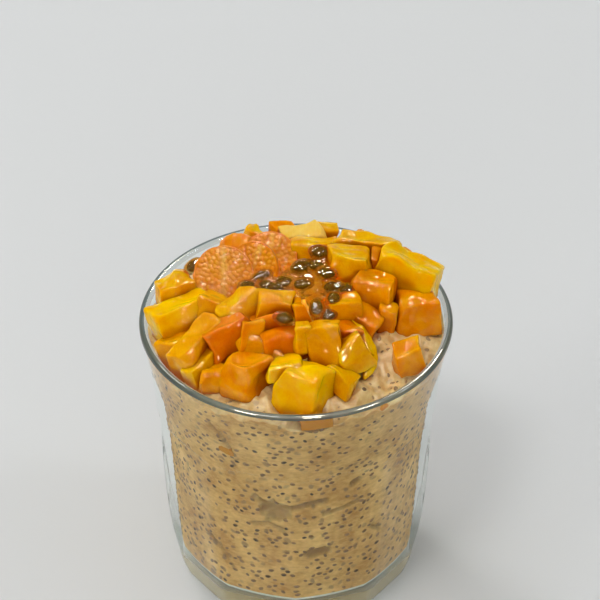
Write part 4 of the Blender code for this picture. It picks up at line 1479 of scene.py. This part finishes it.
    def whole(self, solid: Mesh) -> Mesh:
        """Fill the notches that a dice's neighbours made in its solid.

        Args:
            solid: The dice's solid.

        Returns:
            The dice as the knife left it.
        """
        form = bmesh.new()
        form.from_mesh(solid)
        hull = bmesh.ops.convex_hull(form, input=form.verts, use_existing_faces=False)
        kept = {item for item in hull["geom"] if isinstance(item, bmesh.types.BMFace)}
        bmesh.ops.delete(form, geom=[face for face in form.faces if face not in kept], context="FACES")
        loose = [point for point in form.verts if not point.link_faces]
        bmesh.ops.delete(form, geom=loose, context="VERTS")
        bmesh.ops.recalc_face_normals(form, faces=form.faces)
        return as_mesh(form)

    def with_toe(self, block: Mesh, low: Place, high: Place) -> Mesh:
        """Join a box to a dice, for the remesh to make one with it.

        Args:
            block: The dice.
            low: The box's lowest corner.
            high: Its highest one.

        Returns:
            Both.
        """
        size = Matrix.Diagonal([(b - a) * MM for a, b in zip(low, high)] + [1.0])
        middle = Vector([(a + b) / 2 * MM for a, b in zip(low, high)])
        form = bmesh.new()
        form.from_mesh(block)
        bmesh.ops.create_cube(form, size=1.0, matrix=Matrix.Translation(middle) @ size)
        return as_mesh(form)

    def dress(self, name: str, kind: str, solid: Mesh) -> Piece:
        """Skin one dice, whole where a neighbour was cut into it, and make its faces uneven.

        Args:
            name: Its node's name.
            kind: The fruit that it is cut from.
            solid: Its CAD solid.

        Returns:
            The new piece.
        """
        block = solid if name in self.bent else self.whole(solid)
        if name not in (*self.bent, *self.at_wall):
            block = self.crisp(block)
        if name in self.toes:
            block = self.with_toe(block, *self.toes[name])
        points, skin = remeshed(block, self.voxel, self.ease)
        facing = read_normals(skin)
        rise = (self.plump + self.wave * lumps(points, self.wave_span, 1.0)
                + self.ripple * lumps(points, self.ripple_span, 2.0))
        out = np.hypot(points[:, 0], points[:, 1])
        if name in self.at_wall:
            points[:, :2] *= 1.0 + self.press / out[:, None]
        else:
            inner = smooth_step(out, *self.warp_fade)[:, None]
            wander = np.stack([lumps(points, self.warp_span, pick) for pick in self.warp_patterns],
                              axis=1)
            points = points + self.warp * wander * inner
        points = points + facing * rise[:, None]
        out = np.hypot(points[:, 0], points[:, 1])
        room = self.glass.cavity_radius(points[:, 2]) + self.glass_touch
        room = np.where(points[:, 2] > self.glass.height, np.inf, room)
        points[:, :2] *= np.minimum(1.0, room / out)[:, None]
        lay_film(skin, points, self.film_ease)
        made = dressed(name + "_flesh", skin, self.flesh(name, kind), [name])
        if name in self.toes:
            low, high = np.array(self.toes[name])
            in_toe = (points > low - self.toe_finish) & (points < high + self.toe_finish)
            finish_part(made, Flesh.AT_GLASS.value, in_toe.all(axis=1))
        return made


# ------------------------------------------------------------------ physalis
@dataclass(frozen=True)
class HalfBerry:
    """Where a physalis half lies: the middle of its cut face, its size, and where the cut faces."""

    node: str
    at: Place
    radius: float
    bearing: float
    rise: float

    def frame(self) -> Matrix:
        """Find the cut face's own frame.

        Returns:
            The frame, its Z out of the cut and its Y up along the face.
        """
        lean = Matrix.Rotation(math.radians(90 - self.rise), 4, "X")
        swing = Matrix.Rotation(math.radians(self.bearing), 4, "Z")
        return Matrix.Translation(self.at) @ swing @ lean


@dataclass
class Physalis:
    """The halved physalis: taut skin, and a cut face packed with tiny pale seeds."""

    halves: Sequence[HalfBerry] = (
        HalfBerry("physalis_half_front", (-20.3, 7.4, 93.4), 8.5, 0, 38),
        HalfBerry("physalis_half_middle", (-12.2, 12.0, 92.2), 7.8, -34, 36),
        HalfBerry("physalis_half_right", (-7.4, 16.2, 92.6), 7.8, -8, 44),
        HalfBerry("physalis_half_back", (-14.6, 22.6, 89.4), 7.4, 160, 4))
    voxel: float = 0.2
    ease: int = 5
    plump: float = 0.1           # closes the clearance that the solids keep
    wave: float = 0.18           # height and span of the skin's unevenness
    wave_span: float = 2.6
    cut_wave: float = 0.14       # and of the cut face's own
    cut_span: float = 0.9
    cut_sink: float = 0.2        # how far the flesh sinks between the seeds
    cut_depth: float = 0.8       # the cut face ends this far below its plane
    cut_edge: float = 0.35       # and this far inside the skin
    rim: float = 1.0             # the plain ring of flesh round the seeds
    core: float = 0.9            # half width of the pale core that runs up the face
    core_seeds: float = 0.3      # share of the seeds that stay on the core
    seed_half: tuple[float, float] = (0.64, 0.52)  # a seed's half length and half width
    seed_round: float = 1.15     # how full a seed's bulge is
    seed_rise: float = 0.2       # how far it bulges out of the flesh
    seed_apart: float = 1.08
    seed_fan: float = 0.5        # the spread of the seeds' directions, in radians
    tries: int = 2600            # draws of a seed on each face
    chance: int = 5              # what starts the draws
    skin: Finish = BerryFlesh("physalis_skin", bright="#EC9600", deep="#E07C00", patch=5.0,
                              roughness=0.28, coat=0.35)
    flesh: Finish = BerryFlesh("physalis_cut_flesh", bright="#E89400", deep="#D67E00", patch=2.2,
                               roughness=0.3, coat=0.5, seed="#F6AC24", core="#FAC450")

    def build(self, nodes: dict[str, Piece]) -> list[Piece]:
        """Dress every half and bulge its seeds."""
        draw = random.Random(self.chance)
        return [self.dress(half, nodes[half.node].data, self.sow(half, draw)) for half in self.halves]

    def dress(self, half: HalfBerry, solid: Mesh, seeds: np.ndarray) -> Piece:
        """Skin one half, with seeds bulging in its cut face.

        Args:
            half: Where it lies.
            solid: Its CAD solid.
            seeds: Its seeds, one (across, up, turn) row each.

        Returns:
            The new piece.
        """
        points, skin = remeshed(solid, self.voxel, self.ease)
        inward = np.array(half.frame().inverted())
        local = points @ inward[:3, :3].T + inward[:3, 3]
        reach = half.radius - self.cut_edge
        on_cut = (local[:, 2] > -self.cut_depth) & (np.hypot(local[:, 0], local[:, 1]) < reach)
        cut = np.flatnonzero(on_cut)
        away = local[cut, None, :2] - seeds[None, :, :2]
        along = away[..., 0] * np.cos(seeds[:, 2]) + away[..., 1] * np.sin(seeds[:, 2])
        aside = away[..., 1] * np.cos(seeds[:, 2]) - away[..., 0] * np.sin(seeds[:, 2])
        far = np.hypot(along / self.seed_half[0], aside / self.seed_half[1]).min(axis=1)
        bulge = np.sqrt(np.clip(self.seed_round - far * far, 0, 1))
        rise = self.plump + self.wave * lumps(points, self.wave_span, 1.0)
        rise[cut] += (self.cut_wave * lumps(points[cut], self.cut_span, 3.0) - self.cut_sink
                      + self.seed_rise * bulge)
        write_points(skin, points + read_normals(skin) * rise[:, None])
        for mark, value in (("seed", bulge), ("core", np.exp(-(local[cut, 0] / self.core) ** 2))):
            every = np.zeros(len(points))
            every[cut] = value
            mark_points(skin, mark, every)
        made = dressed(half.node + "_flesh", skin, self.skin, [half.node])
        finish_part(made, self.flesh, on_cut)
        return made

    def sow(self, half: HalfBerry, draw: random.Random) -> np.ndarray:
        """Where the seeds of one cut face lie, fanned out from its core.

        Args:
            half: The half.
            draw: The source of chance.

        Returns:
            One (across, up, turn) row a seed.
        """
        reach = half.radius - self.rim
        found: list[Place] = []
        for _ in range(self.tries):
            x, y = draw.uniform(-reach, reach), draw.uniform(-reach, reach)
            if math.hypot(x, y) > reach or (abs(x) < self.core and draw.random() < 1.0 - self.core_seeds):
                continue
            if any((x - u) ** 2 + (y - v) ** 2 < self.seed_apart ** 2 for u, v, _ in found):
                continue
            found.append((x, y, math.atan2(y, x) + draw.gauss(0.0, self.seed_fan)))
        return np.array(found)


# ------------------------------------------------------------------ passion fruit
@dataclass
class PassionPulp:
    """The passion fruit pulp: wet seeds, each in its sac of jelly, run together over the fruit."""

    seed_size: Place = (4.8, 3.1, 2.4)
    seed_point: float = 0.3
    seeds: Sequence[tuple[Place, float]] = (   # each one's place and bearing
        ((6.8, 13.2, 97.2), 12), ((1.6, 6.6, 97.4), 30), ((5.6, 7.4, 97.2), -24),
        ((8.6, 3.4, 97.4), 8), ((1.8, -1.0, 97.0), -6), ((-3.4, 0.6, 96.4), 20),
        ((-7.8, -0.4, 96.0), -8), ((-9.6, 4.2, 95.6), 16), ((-13.6, 1.0, 94.6), 40),
        ((-5.8, -1.4, 95.6), 4), ((10.2, -2.2, 97.0), -10), ((10.6, -6.0, 95.8), 70),
        ((5.8, -9.8, 95.6), 84), ((9.4, -10.6, 94.0), 60), ((14.2, -1.6, 95.4), 30))
    loose: Sequence[tuple[str, Place, float]] = (
        ("passion_seed_front", (-3.1, -14.8, 95.8), 4), ("passion_seed_left", (-28.6, 13.0, 92.4), 50))
    tip: float = 18.0            # how far a seed may be tipped
    sac: float = 1.5             # a sac's size, in seeds
    sac_point: float = 0.1
    voxel: float = 0.3
    ease: int = 5
    swell: float = 0.12          # closes the clearance that the solid keeps
    wave: float = 0.15           # height and span of the juice's unevenness
    wave_span: float = 2.2
    seed_finish: Finish = PassionSeedCoat("passion_seed_husk")
    jelly: Finish = JuiceSac("passion_juice_sac")

    def build(self, nodes: dict[str, Piece]) -> list[Piece]:
        """Make the seeds, their sacs and the juice that joins them.

        Args:
            nodes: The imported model's nodes by name.

        Returns:
            The heaped seeds, the loose ones and the juice.
        """
        shape = seed_shape(self.seed_size, sides=20, rings=16, point=self.seed_point)
        heaped = [self.place(at, bearing, number) for number, (at, bearing) in enumerate(self.seeds)]
        lying = [self.place(at, bearing, number) for number, (_, at, bearing) in enumerate(self.loose)]
        made = [dressed("passion_seeds", mesh_of(swarm(shape, heaped)), self.seed_finish)]
        for place, (node, _, _) in zip(lying, self.loose):
            husk = mesh_of(swarm(shape, [place]))
            made.append(dressed(node + "_husk", husk, self.seed_finish, [node]))
        made.append(self.pour(heaped + lying, nodes["passion_pulp"].data))
        return made

    def place(self, at: Place, bearing: float, number: int) -> Matrix:
        """Tip a seed a little, differently for each.

        Args:
            at: Its middle.
            bearing: Where it points.
            number: Its number, which its tip goes by.

        Returns:
            The seed's place.
        """
        tip = math.radians(self.tip * math.sin(2.3 * number + 1.0))
        turn = Matrix.Rotation(math.radians(bearing), 4, "Z") @ Matrix.Rotation(tip, 4, "Y")
        return Matrix.Translation(at) @ turn @ Matrix.Rotation(0.8 * tip, 4, "X")

    def pour(self, heaped: Sequence[Matrix], solid: Mesh) -> Piece:
        """Make the sacs and the juice between them, as one skin.

        Args:
            heaped: Where the seeds lie.
            solid: The pulp's CAD solid.

        Returns:
            The juice.
        """
        size = tuple(side * self.sac for side in self.seed_size)
        sac = seed_shape(size, sides=16, rings=12, point=self.sac_point)
        form = bmesh.new()
        form.from_mesh(mesh_of(swarm(sac, heaped)))
        form.from_mesh(solid)
        points, skin = remeshed(as_mesh(form), self.voxel, self.ease)
        rise = self.swell + self.wave * lumps(points, self.wave_span, 6.0)
        write_points(skin, points + read_normals(skin) * rise[:, None])
        return dressed("passion_juice", skin, self.jelly, ["passion_pulp"])


# ------------------------------------------------------------------ the studio
@dataclass(frozen=True)
class Lamp:
    """A soft box that faces the glass."""

    name: str
    at: Place
    size: tuple[float, float]
    watts: float
    colour: str = "#FFFFFF"
    lights: bool = True          # whether it lights matt surfaces
    shines: bool = True          # and whether it shows in wet and glassy ones

    def hang(self, aim: Place) -> None:
        """Put the lamp into the scene.

        Args:
            aim: What it faces.
        """
        data = bpy.data.lights.new(self.name, "AREA")
        data.shape = "RECTANGLE"
        data.size = self.size[0] * MM
        data.size_y = self.size[1] * MM
        data.energy = self.watts
        data.color = linear(self.colour)[:3]
        made = put(self.name, data)
        made.location = Vector(self.at) * MM
        toward = Vector(aim) * MM - made.location
        made.rotation_euler = toward.to_track_quat("-Z", "Y").to_euler()
        made.visible_diffuse = self.lights
        made.visible_glossy = self.shines


@dataclass
class Studio:
    """A pale table, soft daylight from the back left and the camera."""

    elevation: float = 38.498
    distance: float = 2000.0
    aim: Place = (1.134, 0.0, 90.5)
    lens: float = 429.4
    sensor: float = 36.0
    table_side: float = 8000.0
    table_drop: float = 0.05     # keeps the table's face off the foot's face
    cloth: Finish = TableCloth("table_cotton")
    lamps_aim: Place = (0, 0, 70)
    lamps: Sequence[Lamp] = (
        Lamp("window", (-900, 900, 1300), (1100, 900), 5.6, "#F8FAFF", shines=False),
        Lamp("side_window", (-1400, -700, 900), (700, 900), 5.0, shines=False),
        Lamp("fill_front", (100, -1500, 900), (900, 700), 3.4, shines=False),
        Lamp("lamp_back", (-600, 900, 1400), (300, 300), 5.0),
        Lamp("lamp_front", (-350, -650, 1500), (300, 260), 5.0),
        Lamp("lamp_right", (1100, 100, 1200), (200, 200), 2.5, "#F0F6FF"))
    gleams: Sequence[tuple[str, Place, float]] = (   # the small lamps that the wet fruit mirrors
        ("gleam_left", (-650, -700, 1300), 24.0), ("gleam_right", (850, -450, 1300), 20.0),
        ("gleam_high", (150, -150, 1700), 24.0), ("gleam_back", (300, 1000, 1150), 12.0),
        ("gleam_front", (250, -1150, 1250), 20.0))
    gleam_size: tuple[float, float] = (300, 200)
    gleam_colour: str = "#FFF6E0"
    room: tuple[str, float] = ("#F5F6F6", 0.46)       # the pale room's colour and strength
    mirrored: tuple[str, float] = ("#DDE6EA", 0.05)   # and those of its mirror image

    def build(self) -> None:
        """Set the table, the light and the camera."""
        self.set_table()
        self.light()
        self.set_camera()

    def set_table(self) -> None:
        """Lay a plain wide floor."""
        side = self.table_side / 2
        places = ((-side, -side), (side, -side), (side, side), (-side, side))
        corners = np.array([(x, y, -self.table_drop) for x, y in places])
        mesh = mesh_of((corners, [(0, 1, 2, 3)]))
        mesh.materials.append(self.cloth.material())
        table = put("table", mesh)

    def light(self) -> None:
        """Hang a window behind on the left, smaller lamps, and a pale room that reflects little."""
        for lamp in self.lamps:
            lamp.hang(self.lamps_aim)
        for name, at, watts in self.gleams:
            Lamp(name, at, self.gleam_size, watts, self.gleam_colour, lights=False).hang(self.lamps_aim)
        world = bpy.data.worlds.new("room")
        bpy.context.scene.world = world
        world.use_nodes = True
        tree = world.node_tree
        tree.nodes.clear()
        room, mirrored = [add_node(tree, "Background", {"Color": colour, "Strength": strength})
                          for colour, strength in (self.room, self.mirrored)]
        path = add_node(tree, "LightPath").outputs
        share = add_node(tree, "Math", {"operation": "SUBTRACT", "use_clamp": True},
                         {0: path["Is Glossy Ray"], 1: path["Is Transmission Ray"]})
        both = add_node(tree, "MixShader", links={0: share, 1: room, 2: mirrored})
        add_node(tree, "OutputWorld", links={"Surface": both})

    def set_camera(self) -> None:
        """Set the camera, far off with a long lens."""
        rise = math.radians(self.elevation)
        back = Vector((0.0, -math.cos(rise), math.sin(rise)))
        data = bpy.data.cameras.new("camera")
        data.sensor_width = self.sensor
        data.lens = self.lens
        data.clip_start = 0.01
        data.clip_end = 50.0
        camera = put("camera", data)
        camera.location = (Vector(self.aim) + back * self.distance) * MM
        camera.rotation_euler = (-back).to_track_quat("-Z", "Y").to_euler()
        bpy.context.scene.camera = camera


def main() -> None:
    """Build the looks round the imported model."""
    logging.basicConfig(level=logging.INFO, format="%(name)s: %(message)s")
    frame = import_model()
    nodes = frame["nodes"]
    _, glass_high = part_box("glass")
    glass = Tumbler(height=glass_high.z / MM, rim_radius=glass_high.x / MM)
    glass.build()
    pudding = Pudding(glass)
    pudding.build()
    pudding.sow_wall()
    pudding.sow_top()
    DicedFruit(glass).build(nodes)
    Physalis().build(nodes)
    PassionPulp().build(nodes)
    Studio().build()
    scene = bpy.context.scene
    scene.view_settings.view_transform = "Standard"
    scene.view_settings.look = "None"
    scene.cycles.transparent_max_bounces = 24


if __name__ == "__main__":
    main()
